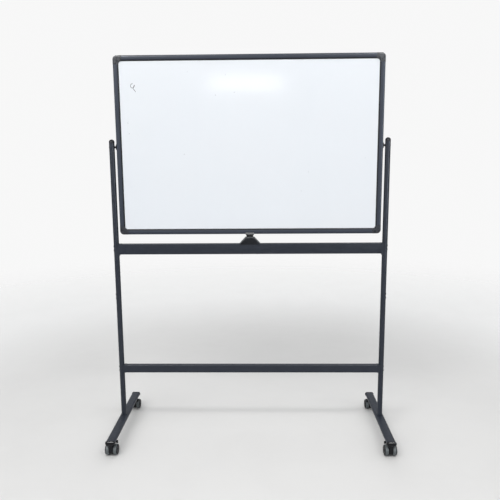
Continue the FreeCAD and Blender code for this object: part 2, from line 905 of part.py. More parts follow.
def latch_housing():
    """A sloping block on the middle rail that guides the catch."""
    body = new_body()
    top = RAIL_TOP + d.housing_height
    skirt = RAIL_TOP - d.housing_skirt
    shell = outline(sketch_on(body, "XZ"), [
        (-d.housing_half_base, skirt),
        (-d.housing_half_base, RAIL_TOP),
        (-d.housing_half_top, top),
        (d.housing_half_top, top),
        (d.housing_half_base, RAIL_TOP),
        (d.housing_half_base, skirt),
    ])
    block = pad(body, shell, d.housing_depth)
    limit = d.housing_depth.value / 2 - TOUCHING
    floor = skirt.value + TOUCHING
    round_edges(
        body, block, d.housing_bevel,
        lambda edge: min(abs(vertex.Y) for vertex in edge.Vertexes) > limit
        and max(vertex.Z for vertex in edge.Vertexes) > floor
        and len({round(vertex.Y) for vertex in edge.Vertexes}) == 1,
    )
    seat = rectangle(
        sketch_on(body, "YZ"), -d.rail_depth / 2 - d.housing_fit, d.rail_depth / 2 + d.housing_fit,
        skirt - SPARE, RAIL_TOP,
    )
    pocket(body, seat, d.housing_half_base * 3)
    cavity = rectangle(
        sketch_on(body, "XZ"), -d.cavity_half, d.cavity_half,
        RAIL_TOP - SPARE, RAIL_TOP + d.cavity_height,
    )
    pocket(body, cavity, d.cavity_depth)
    mouth = rectangle(
        sketch_on(body, "XZ"), -d.mouth_half, d.mouth_half,
        RAIL_TOP + d.cavity_height - SPARE, top + SPARE,
    )
    pocket(body, mouth, d.mouth_depth)
    drills = [
        cylinder(d.latch_screw_radius, (x, 0, RAIL_TOP), d.latch_screw_bite + SPARE)
        for x in (d.latch_screw_x, -d.latch_screw_x)
    ]
    return piece(cut(body, *drills), "latch_housing")


def latch_screws():
    """Two screws from under the rail up into the housing."""
    head = cylinder(
        d.latch_screw_head_radius,
        (d.latch_screw_x, 0, RAIL_BOTTOM - d.latch_screw_head_height), d.latch_screw_head_height,
    )
    shank = cylinder(
        d.latch_screw_radius, (d.latch_screw_x, 0, RAIL_BOTTOM),
        d.mid_rail_height + d.latch_screw_bite,
    )
    return piece(both_sides(fuse(head, shank)), "latch_screws")


def catch():
    """The sliding piece: two ramped lips around the board's edge, a throat and stop lugs."""
    lips = new_body()
    low = d.board_bottom - d.lip_drop
    floor = d.board_bottom - d.channel_gap
    high = d.board_bottom + d.lip_rise
    channel = outline(sketch_on(lips, "YZ"), [
        (-d.lip_outer, low),
        (d.lip_outer, low),
        (d.lip_outer, floor),
        (d.lip_top_outer, high),
        (d.lip_inner, high),
        (d.lip_inner, floor),
        (-d.lip_inner, floor),
        (-d.lip_inner, high),
        (-d.lip_top_outer, high),
        (-d.lip_outer, floor),
    ])
    pad(lips, channel, d.lip_half * 2)
    throat = new_body()
    waist = low - d.throat_height
    lug_top = RAIL_TOP + d.lug_top
    lug_bottom = RAIL_TOP + d.lug_bottom
    side = [
        (d.throat_top_half, low),
        (d.throat_half, waist),
        (d.throat_half, lug_top),
        (d.lug_half, lug_top),
        (d.lug_half, lug_bottom),
    ]
    other_side = [(-x, z) for x, z in reversed(side)]
    pad(throat, outline(sketch_on(throat, "XZ"), side + other_side), d.throat_depth)
    recess = cylinder(d.spring_recess_radius, (0, 0, lug_bottom), d.spring_recess)
    return piece(cut(fuse(lips, throat), recess), "catch")


def latch_spring():
    """A coil spring between the rail's top and the catch's recess."""
    height = d.lug_bottom + d.spring_recess - d.spring_wire * 2
    path = DOC.addObject("Part::Helix", "Helix")
    bind(path, Pitch=height / d.spring_turns, Height=height, Radius=d.spring_radius)
    wire = DOC.addObject("Part::Circle", "Circle")
    bind(wire, Radius=d.spring_wire)
    place(wire, d.spring_radius, 0, 0, (V(1, 0, 0), 90))
    DOC.recompute()
    coil = DOC.addObject("Part::Sweep", "Sweep")
    coil.Sections = [wire]
    coil.Spine = (path, ["Edge1"])
    coil.Solid = True
    coil.Frenet = True
    place(coil, 0, 0, RAIL_TOP + d.spring_wire)
    return piece(coil, "latch_spring")


# board -----------------------------------------------------------------------------------------

def frame_section(sketch, outer, inward, across, solid):
    """A frame member's section: outer edge at outer, the panel's side at outer plus inward.

    across is true where the sketch's first axis runs through the board's depth.
    """
    half = d.frame_depth / 2
    core = d.core_thickness / 2
    if solid:
        lip = d.frame_inner_depth / 2
        crest = outer + inward * d.frame_crest
        inner = outer + inward * d.frame_face
        floor = outer + inward * d.frame_groove
        points = [
            (outer, -half, d.frame_round),
            (crest, -half, d.frame_crest_round),
            (inner, -lip, d.frame_lip_round),
            (inner, -core),
            (floor, -core),
            (floor, core),
            (inner, core),
            (inner, lip, d.frame_lip_round),
            (crest, half, d.frame_crest_round),
            (outer, half, d.frame_round),
        ]
    else:
        wall = d.frame_wall
        points = [
            (outer + inward * wall, wall - half, d.frame_round - wall),
            (outer + inward * d.frame_chamber, -core),
            (outer + inward * d.frame_chamber, core),
            (outer + inward * wall, half - wall, d.frame_round - wall),
        ]
    if across:
        points = [(point[1], point[0], *point[2:]) for point in points]
    return outline(sketch, points)


def frame_member(plane, outer, inward, length, offset=0):
    """An extruded member of the board's frame."""
    body = new_body()
    across = plane == "YZ"
    pad(body, frame_section(sketch_on(body, plane, offset), outer, inward, across, True), length)
    chamber = frame_section(sketch_on(body, plane, offset), outer, inward, across, False)
    pocket(body, chamber, length + SPARE)
    return body


def board_frame():
    """Top, bottom and side members between the corner pieces."""
    across = (BOARD_X - d.corner_leg) * 2
    upright = d.board_height - d.corner_leg * 2
    piece(frame_member("YZ", BOARD_TOP, -1, across), "frame_top")
    piece(frame_member("YZ", d.board_bottom, 1, across), "frame_bottom")
    for side in (-1, 1):
        member = frame_member("XY", side * BOARD_X, -side, upright, PIVOT_Z)
        depth = d.frame_wall * 3
        middle = side * (BOARD_X - depth / 2)
        drill = cylinder(d.hub_spigot_radius, (middle - depth, 0, PIVOT_Z), depth * 2, "x")
        piece(cut(member, drill), f"frame_{side_name(side)}")


def frame_corners():
    """Moulded corners, with tabs inside the members and a slot for the panel."""
    body = new_body()
    left = BOARD_X - d.corner_leg
    bottom = BOARD_TOP - d.corner_leg
    inner_x = BOARD_X - d.frame_face
    inner_z = BOARD_TOP - d.frame_face
    shell = outline(sketch_on(body, "XZ"), [
        (BOARD_X, bottom),
        (BOARD_X, BOARD_TOP, d.corner_outer_round),
        (left, BOARD_TOP),
        (left, inner_z),
        (inner_x, inner_z, d.corner_inner_round),
        (inner_x, bottom),
    ])
    block = pad(body, shell, d.frame_depth + d.corner_proud * 2)

    outer_x = (BOARD_X - d.corner_outer_round).value - TOUCHING
    outer_z = (BOARD_TOP - d.corner_outer_round).value - TOUCHING
    rim = round_edges(
        body, block, d.corner_edge_round,
        lambda edge: edge.BoundBox.YLength < TOUCHING
        and (edge.BoundBox.XMin > outer_x or edge.BoundBox.ZMin > outer_z),
    )
    round_edges(
        body, rim, d.corner_inner_edge_round,
        lambda edge: edge.BoundBox.YLength < TOUCHING
        and edge.BoundBox.XMax < inner_x.value + TOUCHING
        and edge.BoundBox.ZMax < inner_z.value + TOUCHING,
    )
    slot = rectangle(
        sketch_on(body, "XZ"), left - SPARE, BOARD_X - d.frame_groove,
        bottom - SPARE, BOARD_TOP - d.frame_groove,
    )
    pocket(body, slot, d.core_thickness)
    tab = (d.frame_wall + d.tab_play * 2, d.frame_chamber - d.tab_play)
    tab_y = (-d.tab_depth / 2, d.tab_depth / 2)
    down = box((BOARD_X - tab[1], BOARD_X - tab[0]), tab_y, (bottom - d.tab_length, bottom))
    inward = box((left - d.tab_length, left), tab_y, (BOARD_TOP - tab[1], BOARD_TOP - tab[0]))
    corner = fuse(body, down, inward)
    lower = mirror(corner, V(0, 0, 1), PIVOT_Z)
    corners = group(corner, lower, mirror(corner, V(1, 0, 0)), mirror(lower, V(1, 0, 0)))
    return piece(corners, "frame_corners")


def core_panel():
    """The core, held all round in the frame's groove."""
    edge = d.frame_groove + d.core_play
    half_width = BOARD_X - edge
    half_depth = d.core_thickness / 2
    core = box(
        (-half_width, half_width),
        (-half_depth, half_depth),
        (d.board_bottom + edge, BOARD_TOP - edge),
    )
    return piece(core, "core_panel")


def writing_sheet(side, name):
    """A writing sheet bonded to the core, cut to the frame's opening with its round corners."""
    body = new_body()
    edge = d.frame_face + d.sheet_play
    middle = side * (d.core_thickness + d.sheet_thickness) / 2
    face = rectangle(
        sketch_on(body, "XZ", -middle), edge - BOARD_X, BOARD_X - edge,
        d.board_bottom + edge, BOARD_TOP - edge, d.corner_inner_round - d.sheet_play,
    )
    pad(body, face, d.sheet_thickness)
    return piece(body, name)


def pivot_hubs():
    """Flared bushes in the side members that turn on the pivot pins."""
    rim = cylinder(d.hub_flange_radius, (BOARD_X, 0, PIVOT_Z), d.hub_rim, "x")
    nose = cone(
        d.hub_flange_radius, d.hub_nose_radius, (BOARD_X + d.hub_rim, 0, PIVOT_Z),
        d.hub_nose - d.hub_rim, "x",
    )
    half = d.frame_depth / 2
    slab = box(
        (BOARD_X, BOARD_X + d.hub_nose), (-half, half),
        (PIVOT_Z - d.hub_flange_radius, PIVOT_Z + d.hub_flange_radius),
    )
    flange = common(fuse(rim, nose), slab)
    depth = d.frame_chamber - d.tab_play
    spigot = cylinder(d.hub_spigot_radius, (BOARD_X - depth, 0, PIVOT_Z), depth, "x")
    bore = cylinder(
        d.pin_radius + d.pin_play, (BOARD_X - d.pin_reach - d.tab_play, 0, PIVOT_Z),
        d.pin_reach + d.hub_nose + SPARE, "x",
    )
    return piece(both_sides(cut(fuse(spigot, flange), bore)), "pivot_hubs")


def pivot_pins():
    """Pins fixed in the posts, with a small collar on each post's inner side."""
    start = BOARD_X - d.pin_reach
    pin = cylinder(d.pin_radius, (start, 0, PIVOT_Z), POST_X + d.post_radius - start, "x")
    face = POST_X - d.post_radius
    collar = cone(
        d.collar_nose_radius, d.collar_radius, (face - d.collar_length, 0, PIVOT_Z),
        d.collar_length, "x",
    )
    seat = cylinder(d.collar_radius, (face, 0, PIVOT_Z), d.collar_length, "x")
    post = cylinder(
        d.post_radius, (POST_X, 0, PIVOT_Z - d.collar_radius * 2), d.collar_radius * 4
    )
    return piece(both_sides(fuse(pin, cut(fuse(collar, seat), post))), "pivot_pins")


for side in (-1, 1):
    lower_post(side)
    upper_post(side)
    foot(side)
splice_sleeves()
post_caps()
mid_rail()
low_rail()
piece(rail_saddle(d.mid_rail_height, d.mid_rail_centre, MID_SCREWS, True), "mid_rail_saddles")
piece(rail_saddle(d.low_rail_height, d.low_rail_centre, LOW_SCREWS, False), "low_rail_saddles")
rail_screws()
splice_screws()
foot_end_caps()
foot_bolts()
caster_sockets()
caster_stems()
latch_housing()
latch_screws()
catch()
latch_spring()
pivot_pins()
pivot_hubs()
board_frame()
frame_corners()
core_panel()
writing_sheet(-1, "sheet_front")
writing_sheet(1, "sheet_rear")
caster("caster_fl", -1, -1)
caster("caster_fr", 1, -1)
caster("caster_rl", -1, 1)
caster("caster_rr", 1, 1)

DOC.recompute()
failed = [item.Label for item in DOC.Objects if {"Invalid", "Error"} & set(item.State)]
if failed:
    raise RuntimeError(f"failed objects: {failed}")
for item in PARTS:
    if item.Shape.isNull() or not item.Shape.isValid() or not item.Shape.Solids:
        raise RuntimeError(f"{item.Label}: bad shape")

os.makedirs("parts", exist_ok=True)
for item in PARTS:
    item.Shape.exportStep(f"parts/{item.Label}.step")
print(len(PARTS), "parts written")
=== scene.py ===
import math
import random

import bmesh
import bpy
from mathutils import Matrix, Vector


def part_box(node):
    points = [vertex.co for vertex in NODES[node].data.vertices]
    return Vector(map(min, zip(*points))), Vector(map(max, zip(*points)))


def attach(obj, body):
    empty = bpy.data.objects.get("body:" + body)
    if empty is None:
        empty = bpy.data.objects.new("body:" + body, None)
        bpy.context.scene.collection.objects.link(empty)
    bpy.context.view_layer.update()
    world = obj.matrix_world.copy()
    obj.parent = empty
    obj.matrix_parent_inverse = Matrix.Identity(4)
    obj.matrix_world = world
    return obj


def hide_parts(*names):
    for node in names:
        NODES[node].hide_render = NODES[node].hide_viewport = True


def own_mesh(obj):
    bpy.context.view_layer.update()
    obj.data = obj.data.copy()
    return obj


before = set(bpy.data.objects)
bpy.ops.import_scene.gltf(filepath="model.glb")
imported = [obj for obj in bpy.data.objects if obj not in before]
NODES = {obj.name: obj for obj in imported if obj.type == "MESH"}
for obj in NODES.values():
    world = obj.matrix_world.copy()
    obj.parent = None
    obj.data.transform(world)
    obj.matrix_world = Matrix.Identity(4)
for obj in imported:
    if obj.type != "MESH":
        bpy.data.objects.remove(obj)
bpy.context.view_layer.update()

# A rolling, reversible whiteboard. Metres, +X to the right, +Y to the rear, +Z up.
# Each CAD node keeps its place; most are shown by a finer piece that rides on the same body.

MM = 0.001
CASTERS = ("fl", "fr", "rl", "rr")
random.seed(11)


# Sizes that the frame's boxes don't give ------------------------------------------------------

EDGE_SOFTNESS = 0.4 * MM
MEMBER_END_SOFTNESS = 0.15 * MM
RAIL_ROUND = 3.0 * MM
FOOT_ROUND = 9.5 * MM
FOOT_CAP_ROUND = 10.5 * MM
FOOT_NOSE_ROUND = 7.5 * MM
FRAME_ROUND = 7.0 * MM
FRAME_CREST = 15.0 * MM
FRAME_CREST_ROUND = 30.0 * MM
FRAME_LIP_HALF_DEPTH = 8.8 * MM
FRAME_LIP_ROUND = 1.0 * MM
FRAME_LIP_EDGE = 0.3 * MM
FRAME_GROOVE_DEPTH = 9.0 * MM
# Width of the painted shade band along the frame's inner edge, next to the panel.
FRAME_SHADE_BAND = 5.0 * MM
SCREW_PITCH = 19.0 * MM
SCREW_HEAD_RADIUS = 4.8 * MM
BOLT_HEAD_RADIUS = 7.0 * MM
WELD_RADIUS = 13.8 * MM
WELD_THICKNESS = 1.6 * MM
WELD_RIPPLES = 46
TREAD_THICKNESS = 5.0 * MM
TREAD_SHOULDER = 3.2 * MM
TREAD_CROWN = 0.15 * MM
AXLE_BORE = 4.2 * MM
RIM_ROUND = 2.4 * MM
DISH_INNER = 9.0 * MM
DISH_OUTER = 17.5 * MM
DISH_WEBS = 6
DISH_WEB_HEIGHT = 0.45 * MM
INK_THICKNESS = 0.05 * MM
SQUIGGLE_WIDTH = 2.1 * MM
CATCH_LIP = 8.0 * MM
CATCH_LIP_BLEND = 1.2 * MM
SPRING_WIRE = 0.7 * MM
SPRING_TURNS = 6
SPRING_CLOSED_END = 0.12

# The outer face of a wheel, from its rim to its middle: the depth below the face, and the radius.
WHEEL_FACE_MM = (
    (0, 19.4), (0.3, 19.0), (1.5, 18.2), (1.7, 17.4), (1.7, 13.0), (1.7, 9.2), (1.4, 8.4),
    (0.4, 7.6), (0, 7.0), (0, 4.4), (0.5, 4.0), (0.3, 1.5), (0.25, 0),
)

# A pen squiggle from its first point to its last, and dots of ink: where each one is across and up
# the sheet, as shares of its width and height, and how wide it is in millimetres.
SQUIGGLE_PLACE = (0.043, 0.844)
SQUIGGLE_MM = (
    (10, 21), (3, 18), (0, 10), (4, 3), (11, 2), (17, 9), (18, 15), (15, 8), (12, 0), (15, -6),
    (19, -10), (22, -16),
)
INK_DOTS = (
    (0.264, 0.935, 2.4), (0.41, 0.916, 3.6), (0.371, 0.802, 2.2), (0.444, 0.815, 2.8),
    (0.027, 0.644, 2.2), (0.031, 0.58, 2.0), (0.244, 0.455, 2.0), (0.953, 0.425, 1.8),
    (0.732, 0.343, 1.8), (0.704, 0.229, 1.6),
)

# The studio, in metres, degrees and watts.
FLOOR_FADE = 5.2
BACKDROP = (0.935, 0.935, 0.935, 1)
SKY_COLOUR = (0.97, 0.985, 1, 1)
SKY_RISE = (-0.3, 0.9)
SKY_STRENGTH = (0.12, 0.95)
KEY_PLACE = (-1.5, -3.2, 4.4)
KEY_TARGET = (0, 0, 1.1)
KEY_STRENGTH = 0.9
KEY_ANGLE = 38
REAR_SPREAD = 60
WHITE = (1, 1, 1)
COOL = (0.8, 0.9, 1)

# Lamps: name, place, target, width and height, power, colour, and the rays that see it.
LAMPS = (
    ("ceiling_left", (-1.1, -1.9, 3.1), (-0.66, 0, 1.2), (1.2, 0.25), 16, WHITE, "all"),
    ("ceiling_right", (1.2, -1.9, 3.1), (0.72, 0, 1.2), (1.2, 0.25), 16, WHITE, "all"),
    ("rear", (0.3, 3.6, 1.7), (0, 0, 1.4), (2.0, 1.0), 9, WHITE, "diffuse"),
    ("sparkle_left", (-1.5, -2.3, 3.2), (-0.6, 0, 0.1), (0.8, 0.3), 75, WHITE, "glossy"),
    ("sparkle_right", (1.5, -2.3, 3.2), (0.6, 0, 0.1), (0.8, 0.3), 75, WHITE, "glossy"),
    ("side_left", (-2.4, -1.9, 1.5), (-0.6, 0, 1.3), (0.5, 1.8), 26, COOL, "glossy"),
    ("side_right", (2.4, -1.9, 1.5), (0.6, 0, 1.3), (0.5, 1.8), 64, COOL, "glossy"),
    ("front_panel", (0, -5.0, 1.75), (0, 0, 1.75), (5.0, 3.0), 34, WHITE, "glossy"),
    ("strip_reflection", (-0.18, -6.0, 2.38), (-0.18, 0, 2.38), (1.1, 0.22), 3, WHITE, "all"),
)
CAMERA_PLACE = (0.057, -2.6838, 1.3542)
CAMERA_PITCH, CAMERA_YAW, CAMERA_ROLL = 9.444, -1.2165, -0.4372
CAMERA_LENS = 41.376


# Shapes ---------------------------------------------------------------------------------------

def rounded(corners, steps=6):
    """A closed outline from corners (u, v, radius), with an arc at each that has a radius."""
    points = []
    for index, (u, v, radius) in enumerate(corners):
        corner = Vector((u, v))
        if radius == 0:
            points.append(corner)
            continue
        before = (Vector(corners[index - 1][:2]) - corner).normalized()
        after = (Vector(corners[(index + 1) % len(corners)][:2]) - corner).normalized()
        half = before.angle(after) / 2
        centre = corner + (before + after).normalized() * (radius / math.sin(half))
        first = corner + before * (radius / math.tan(half)) - centre
        last = corner + after * (radius / math.tan(half)) - centre
        sweep = first.angle(last)
        for step in range(steps + 1):
            share = step / steps
            arm = first * math.sin((1 - share) * sweep) + last * math.sin(share * sweep)
            points.append(centre + arm / math.sin(sweep))
    return points


def rectangle(u_low, u_high, v_low, v_high, radius, steps=6):
    """A rectangle with round corners, as an outline."""
    return rounded([
        (u_low, v_low, radius),
        (u_high, v_low, radius),
        (u_high, v_high, radius),
        (u_low, v_high, radius),
    ], steps)


def inset(outline, distance):
    """The outline moved inwards by a small distance."""
    moved = []
    area = sum(a.x * b.y - b.x * a.y for a, b in zip(outline, outline[1:] + outline[:1]))
    inward = 1 if area > 0 else -1
    for index, point in enumerate(outline):
        before = (point - outline[index - 1]).normalized()
        after = (outline[(index + 1) % len(outline)] - point).normalized()
        normal = Vector((-before.y - after.y, before.x + after.x)).normalized() * inward
        reach = max(0.5, abs(normal.dot(Vector((-before.y, before.x)))))
        moved.append(point + normal * (distance / reach))
    return moved


def along_axis(axis, u, v, along):
    """A point from its place along an axis and its two coordinates across it."""
    if axis == "x":
        return Vector((along, u, v))
    if axis == "y":
        return Vector((u, along, v))
    return Vector((u, v, along))


def loft(rings, cap=True):
    """A skin over rings of points, each ring with the same number of points."""
    bm = bmesh.new()
    loops = [[bm.verts.new(point) for point in ring] for ring in rings]
    for ring, following in zip(loops, loops[1:]):
        for index in range(len(ring)):
            after = (index + 1) % len(ring)
            bm.faces.new((ring[index], ring[after], following[after], following[index]))
    if cap:
        bm.faces.new(loops[0])
        bm.faces.new(loops[-1])
    return bm


def prism(outline, axis, low, high, softness=EDGE_SOFTNESS):
    """An outline run along an axis, with its two ends softened."""
    narrow = inset(outline, softness)
    rings = [
        [along_axis(axis, point.x, point.y, along) for point in ring]
        for along, ring in (
            (low, narrow),
            (low + softness, outline),
            (high - softness, outline),
            (high, narrow),
        )
    ]
    return loft(rings)


def polygon_radius(radius, sides, angle):
    """The distance to a regular polygon's edge at an angle, corners at the radius."""
    step = 2 * math.pi / sides
    return radius * math.cos(step / 2) / math.cos((angle % step) - step / 2)


def lathe(profile, axis, centre, segments=48, shape=None):
    """A turned shape. The profile is (along, radius) or (along, radius, sides) from one end to
    the other; a radius of 0 is a pole, and shape may move a point by its angle."""
    bm = bmesh.new()
    loops = []
    for along, radius, *sides in profile:
        if radius == 0:
            loops.append([bm.verts.new(centre + along_axis(axis, 0, 0, along))])
            continue
        loop = []
        for index in range(segments):
            angle = 2 * math.pi * index / segments
            reach = polygon_radius(radius, sides[0], angle) if sides else radius
            level = along
            if shape:
                level, reach = shape(along, reach, angle)
            u, v = reach * math.cos(angle), reach * math.sin(angle)
            loop.append(bm.verts.new(centre + along_axis(axis, u, v, level)))
        loops.append(loop)
    for first, second in zip(loops, loops[1:]):
        for index in range(segments):
            after = (index + 1) % segments
            if len(first) == 1:
                bm.faces.new((first[0], second[after], second[index]))
            elif len(second) == 1:
                bm.faces.new((first[index], first[after], second[0]))
            else:
                bm.faces.new((first[index], first[after], second[after], second[index]))
    return bm


def arc(centre_along, centre_radius, radius, start, end, steps=6):
    """Profile points on a quarter or other part of a circle, angles in degrees."""
    points = []
    for step in range(steps + 1):
        angle = math.radians(start + (end - start) * step / steps)
        points.append((
            centre_along + radius * math.cos(angle),
            centre_radius + radius * math.sin(angle),
        ))
    return points


def add(name, bm, look, body, slot, *nodes, sharp=32):
    """A finished piece: smooth except at sharp edges, riding on a body, standing for the nodes."""
    bmesh.ops.recalc_face_normals(bm, faces=bm.faces)
    mesh = bpy.data.meshes.new(name)
    bm.to_mesh(mesh)
    bm.free()
    mesh.shade_smooth()
    mesh.set_sharp_from_angle(angle=math.radians(sharp))
    mesh.materials.append(look)
    piece = bpy.data.objects.new(name, mesh)
    bpy.context.scene.collection.objects.link(piece)
    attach(piece, body)
    if nodes:
        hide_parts(*nodes)
    return piece


def refine(node, name, look, body, slot, softness=0.0, sharp=32):
    """A CAD node's own shape with its flats made whole and its hard edges softened."""
    bm = bmesh.new()
    bm.from_mesh(NODES[node].data)
    bmesh.ops.remove_doubles(bm, verts=bm.verts, dist=0.002 * MM)
    bmesh.ops.dissolve_limit(
        bm, angle_limit=math.radians(0.3), verts=bm.verts, edges=bm.edges
    )
    piece = add(name, bm, look, body, slot, node, sharp=sharp)
    if softness:
        bevel = piece.modifiers.new("soft_edges", "BEVEL")
        bevel.width = softness
        bevel.segments = 2
        bevel.limit_method = "ANGLE"
        bevel.angle_limit = math.radians(40)
        bevel.harden_normals = True
    return piece


# Materials ------------------------------------------------------------------------------------

class Look:
    """A procedural material: an even base with patterns laid over it."""

    def __init__(self, name, colour, roughness, metallic=0.0, **sockets):
        self.material = bpy.data.materials.new(name)
        self.material.use_nodes = True
        self.tree = self.material.node_tree
        self.shader = self.tree.nodes["Principled BSDF"]
        self.shader.inputs["Base Color"].default_value = (*colour, 1)
        self.shader.inputs["Roughness"].default_value = roughness
        self.shader.inputs["Metallic"].default_value = metallic
        for socket, value in sockets.items():
            self.shader.inputs[socket.replace("_", " ")].default_value = value
        self.place = self.node("ShaderNodeTexCoord").outputs["Object"]
        self.colour = colour
        self.paint_out = None
        self.bump_out = None

    def node(self, kind, **settings):
        made = self.tree.nodes.new(kind)
        for name, value in settings.items():
            setattr(made, name, value)
        return made

    def wire(self, source, target):
        if hasattr(source, "links"):
            self.tree.links.new(source, target)
        else:
            target.default_value = source

    def spread(self, stretch, turn=(0, 0, 0)):
        """The object's coordinates, scaled on each axis and turned."""
        mapping = self.node("ShaderNodeMapping")
        self.wire(self.place, mapping.inputs["Vector"])
        mapping.inputs["Scale"].default_value = stretch
        mapping.inputs["Rotation"].default_value = turn
        return mapping.outputs["Vector"]

    def noise(self, scale, stretch=(1, 1, 1), detail=3.0, rough=0.55, turn=(0, 0, 0)):
        made = self.node("ShaderNodeTexNoise")
        self.wire(self.spread(stretch, turn), made.inputs["Vector"])
        made.inputs["Scale"].default_value = scale
        made.inputs["Detail"].default_value = detail
        made.inputs["Roughness"].default_value = rough
        return made.outputs["Fac"]

    def cells(self, scale, stretch=(1, 1, 1), feature="F1"):
        made = self.node("ShaderNodeTexVoronoi", feature=feature)
        self.wire(self.spread(stretch), made.inputs["Vector"])
        made.inputs["Scale"].default_value = scale
        return made.outputs["Distance"]

    def between(self, value, start, end, low=0.0, high=1.0):
        """The value from start to end, as low to high, smooth and held at the ends."""
        made = self.node("ShaderNodeMapRange", interpolation_type="SMOOTHSTEP")
        self.wire(value, made.inputs["Value"])
        made.inputs["From Min"].default_value = start
        made.inputs["From Max"].default_value = end
        made.inputs["To Min"].default_value = low
        made.inputs["To Max"].default_value = high
        return made.outputs["Result"]

    def combine(self, operation, first, second):
        made = self.node("ShaderNodeMath", operation=operation)
        self.wire(first, made.inputs[0])
        self.wire(second, made.inputs[1])
        return made.outputs[0]

    def facing_up(self, start=0.5, end=0.95):
        geometry = self.node("ShaderNodeNewGeometry")
        split = self.node("ShaderNodeSeparateXYZ")
        self.wire(geometry.outputs["Normal"], split.inputs[0])
        return self.between(split.outputs["Z"], start, end)

    def height(self, start, end):
        """0 at the first level and 1 at the second, held beyond them."""
        split = self.node("ShaderNodeSeparateXYZ")
        self.wire(self.place, split.inputs[0])
        return self.between(split.outputs["Z"], start, end)

    def distance_from(self, axis, middle, half):
        """How far out a point is beyond a half size on each side of a middle, on one axis."""
        split = self.node("ShaderNodeSeparateXYZ")
        self.wire(self.place, split.inputs[0])
        offset = self.combine("SUBTRACT", split.outputs[axis], middle)
        return self.combine("SUBTRACT", self.combine("ABSOLUTE", offset, 0), half)

    def paint(self, share, colour):
        """Another colour over the surface so far, where the share is 1."""
        mix = self.node("ShaderNodeMix", data_type="RGBA")
        self.wire(share, mix.inputs["Factor"])
        first, second = mix.inputs[6], mix.inputs[7]
        if self.paint_out:
            self.wire(self.paint_out, first)
        else:
            first.default_value = (*self.colour, 1)
        second.default_value = (*colour, 1)
        self.paint_out = mix.outputs[2]
        self.wire(self.paint_out, self.shader.inputs["Base Color"])

    def roughness(self, value, low, high, start=0.3, end=0.7):
        self.wire(self.between(value, start, end, low, high), self.shader.inputs["Roughness"])

    def bump(self, height, distance, strength=1.0):
        made = self.node("ShaderNodeBump")
        made.inputs["Strength"].default_value = strength
        made.inputs["Distance"].default_value = distance
        self.wire(height, made.inputs["Height"])
        if self.bump_out:
            self.wire(self.bump_out, made.inputs["Normal"])
        self.bump_out = made.outputs["Normal"]
        self.wire(self.bump_out, self.shader.inputs["Normal"])


def powder_coat(name, length_axis):
    """Satin black powder coat: orange peel, faint streaks along the tube, dust and light rubs."""
    look = Look(name, (0.018, 0.0225, 0.0335), 0.42, Specular_IOR_Level=0.25)
    along = {"x": (0.04, 1, 1), "y": (1, 0.04, 1), "z": (1, 1, 0.04)}[length_axis]
    streak = look.noise(120, along, detail=5, rough=0.6)
    look.paint(look.between(streak, 0.5, 0.75, 0, 0.5), (0.027, 0.033, 0.047))
    cloud = look.noise(9, detail=4)
    look.paint(look.between(cloud, 0.45, 0.8, 0, 0.35), (0.012, 0.0145, 0.021))
    rubs = look.combine("MULTIPLY", look.noise(420, along, detail=2), look.noise(14, detail=2))
    look.paint(look.between(rubs, 0.39, 0.47, 0, 0.3), (0.055, 0.062, 0.075))
    dust = look.combine("MULTIPLY", look.facing_up(), look.noise(260, detail=5, rough=0.7))
    look.paint(look.between(dust, 0.45, 0.75, 0, 0.2), (0.1, 0.097, 0.093))
    look.roughness(look.noise(60, detail=4), 0.3, 0.46)
    look.bump(look.noise(1100, detail=2), 0.05 * MM, 0.5)
    look.bump(look.noise(160, detail=2), 0.05 * MM, 0.25)
    return look.material


def frame_opening(length_axis):
    """The axis across a frame member, the board's middle on it and the opening's half size."""
    if length_axis == "x":
        low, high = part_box("frame_bottom")[1].z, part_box("frame_top")[0].z
        return "Z", (low + high) / 2, (high - low) / 2
    low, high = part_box("frame_left")[1].x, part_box("frame_right")[0].x
    return "X", (low + high) / 2, (high - low) / 2


def anodised(name, length_axis):
    """Dark anodised extrusion: die lines along it, slight bloom, small dings, and painted shade as
    a near-black band along the inner edge by the panel.
    """
    look = Look(name, (0.025, 0.032, 0.049), 0.36, 0.1, Specular_IOR_Level=0.35)
    along = {"x": (0.004, 1, 1), "z": (1, 1, 0.004)}[length_axis]
    lines = look.noise(2600, along, detail=3, rough=0.7)
    look.paint(look.between(lines, 0.4, 0.7, 0, 0.6), (0.036, 0.044, 0.064))
    bloom = look.noise(7, detail=5, rough=0.65)
    look.paint(look.between(bloom, 0.5, 0.8, 0, 0.4), (0.018, 0.021, 0.03))
    dings = look.combine("SUBTRACT", look.noise(22, detail=2), look.cells(95))
    look.paint(look.between(dings, 0.52, 0.6, 0, 0.5), (0.13, 0.14, 0.15))
    # Painted shade: near-black within this width of the inner edge, fading out by half as much
    # again.
    depth = look.distance_from(*frame_opening(length_axis))
    inner_shade = look.between(depth, FRAME_SHADE_BAND, 1.5 * FRAME_SHADE_BAND, 1, 0)
    look.paint(inner_shade, (0.005, 0.006, 0.01))
    look.roughness(lines, 0.28, 0.42)
    look.bump(lines, 0.02 * MM, 0.6)
    look.bump(look.noise(30, along, detail=1), 0.12 * MM, 0.2)
    return look.material


def moulding(name, colour, roughness, grain=1500, lighter=1.7, relief=0.5, **sockets):
    """Moulded plastic: fine spark-eroded grain, cloudy tone, scuffed and dusty in places."""
    look = Look(name, colour, roughness, **sockets)
    tone = look.noise(45, detail=4)
    look.paint(look.between(tone, 0.4, 0.75, 0, 0.6), [lighter * part for part in colour])
    scuff = look.combine("MULTIPLY", look.noise(700, (1, 0.2, 0.2)), look.noise(38, detail=2))
    look.paint(look.between(scuff, 0.36, 0.46, 0, 0.25), [0.03 + 2 * part for part in colour])
    dust = look.combine("MULTIPLY", look.facing_up(0.3, 0.9), look.noise(500, detail=5, rough=0.7))
    look.paint(look.between(dust, 0.45, 0.75, 0, 0.1), (0.08, 0.077, 0.072))
    look.roughness(look.noise(90, detail=4), roughness * 0.8, min(1, roughness * 1.3))
    look.bump(look.noise(grain, detail=2), 0.04 * MM, relief)
    return look.material


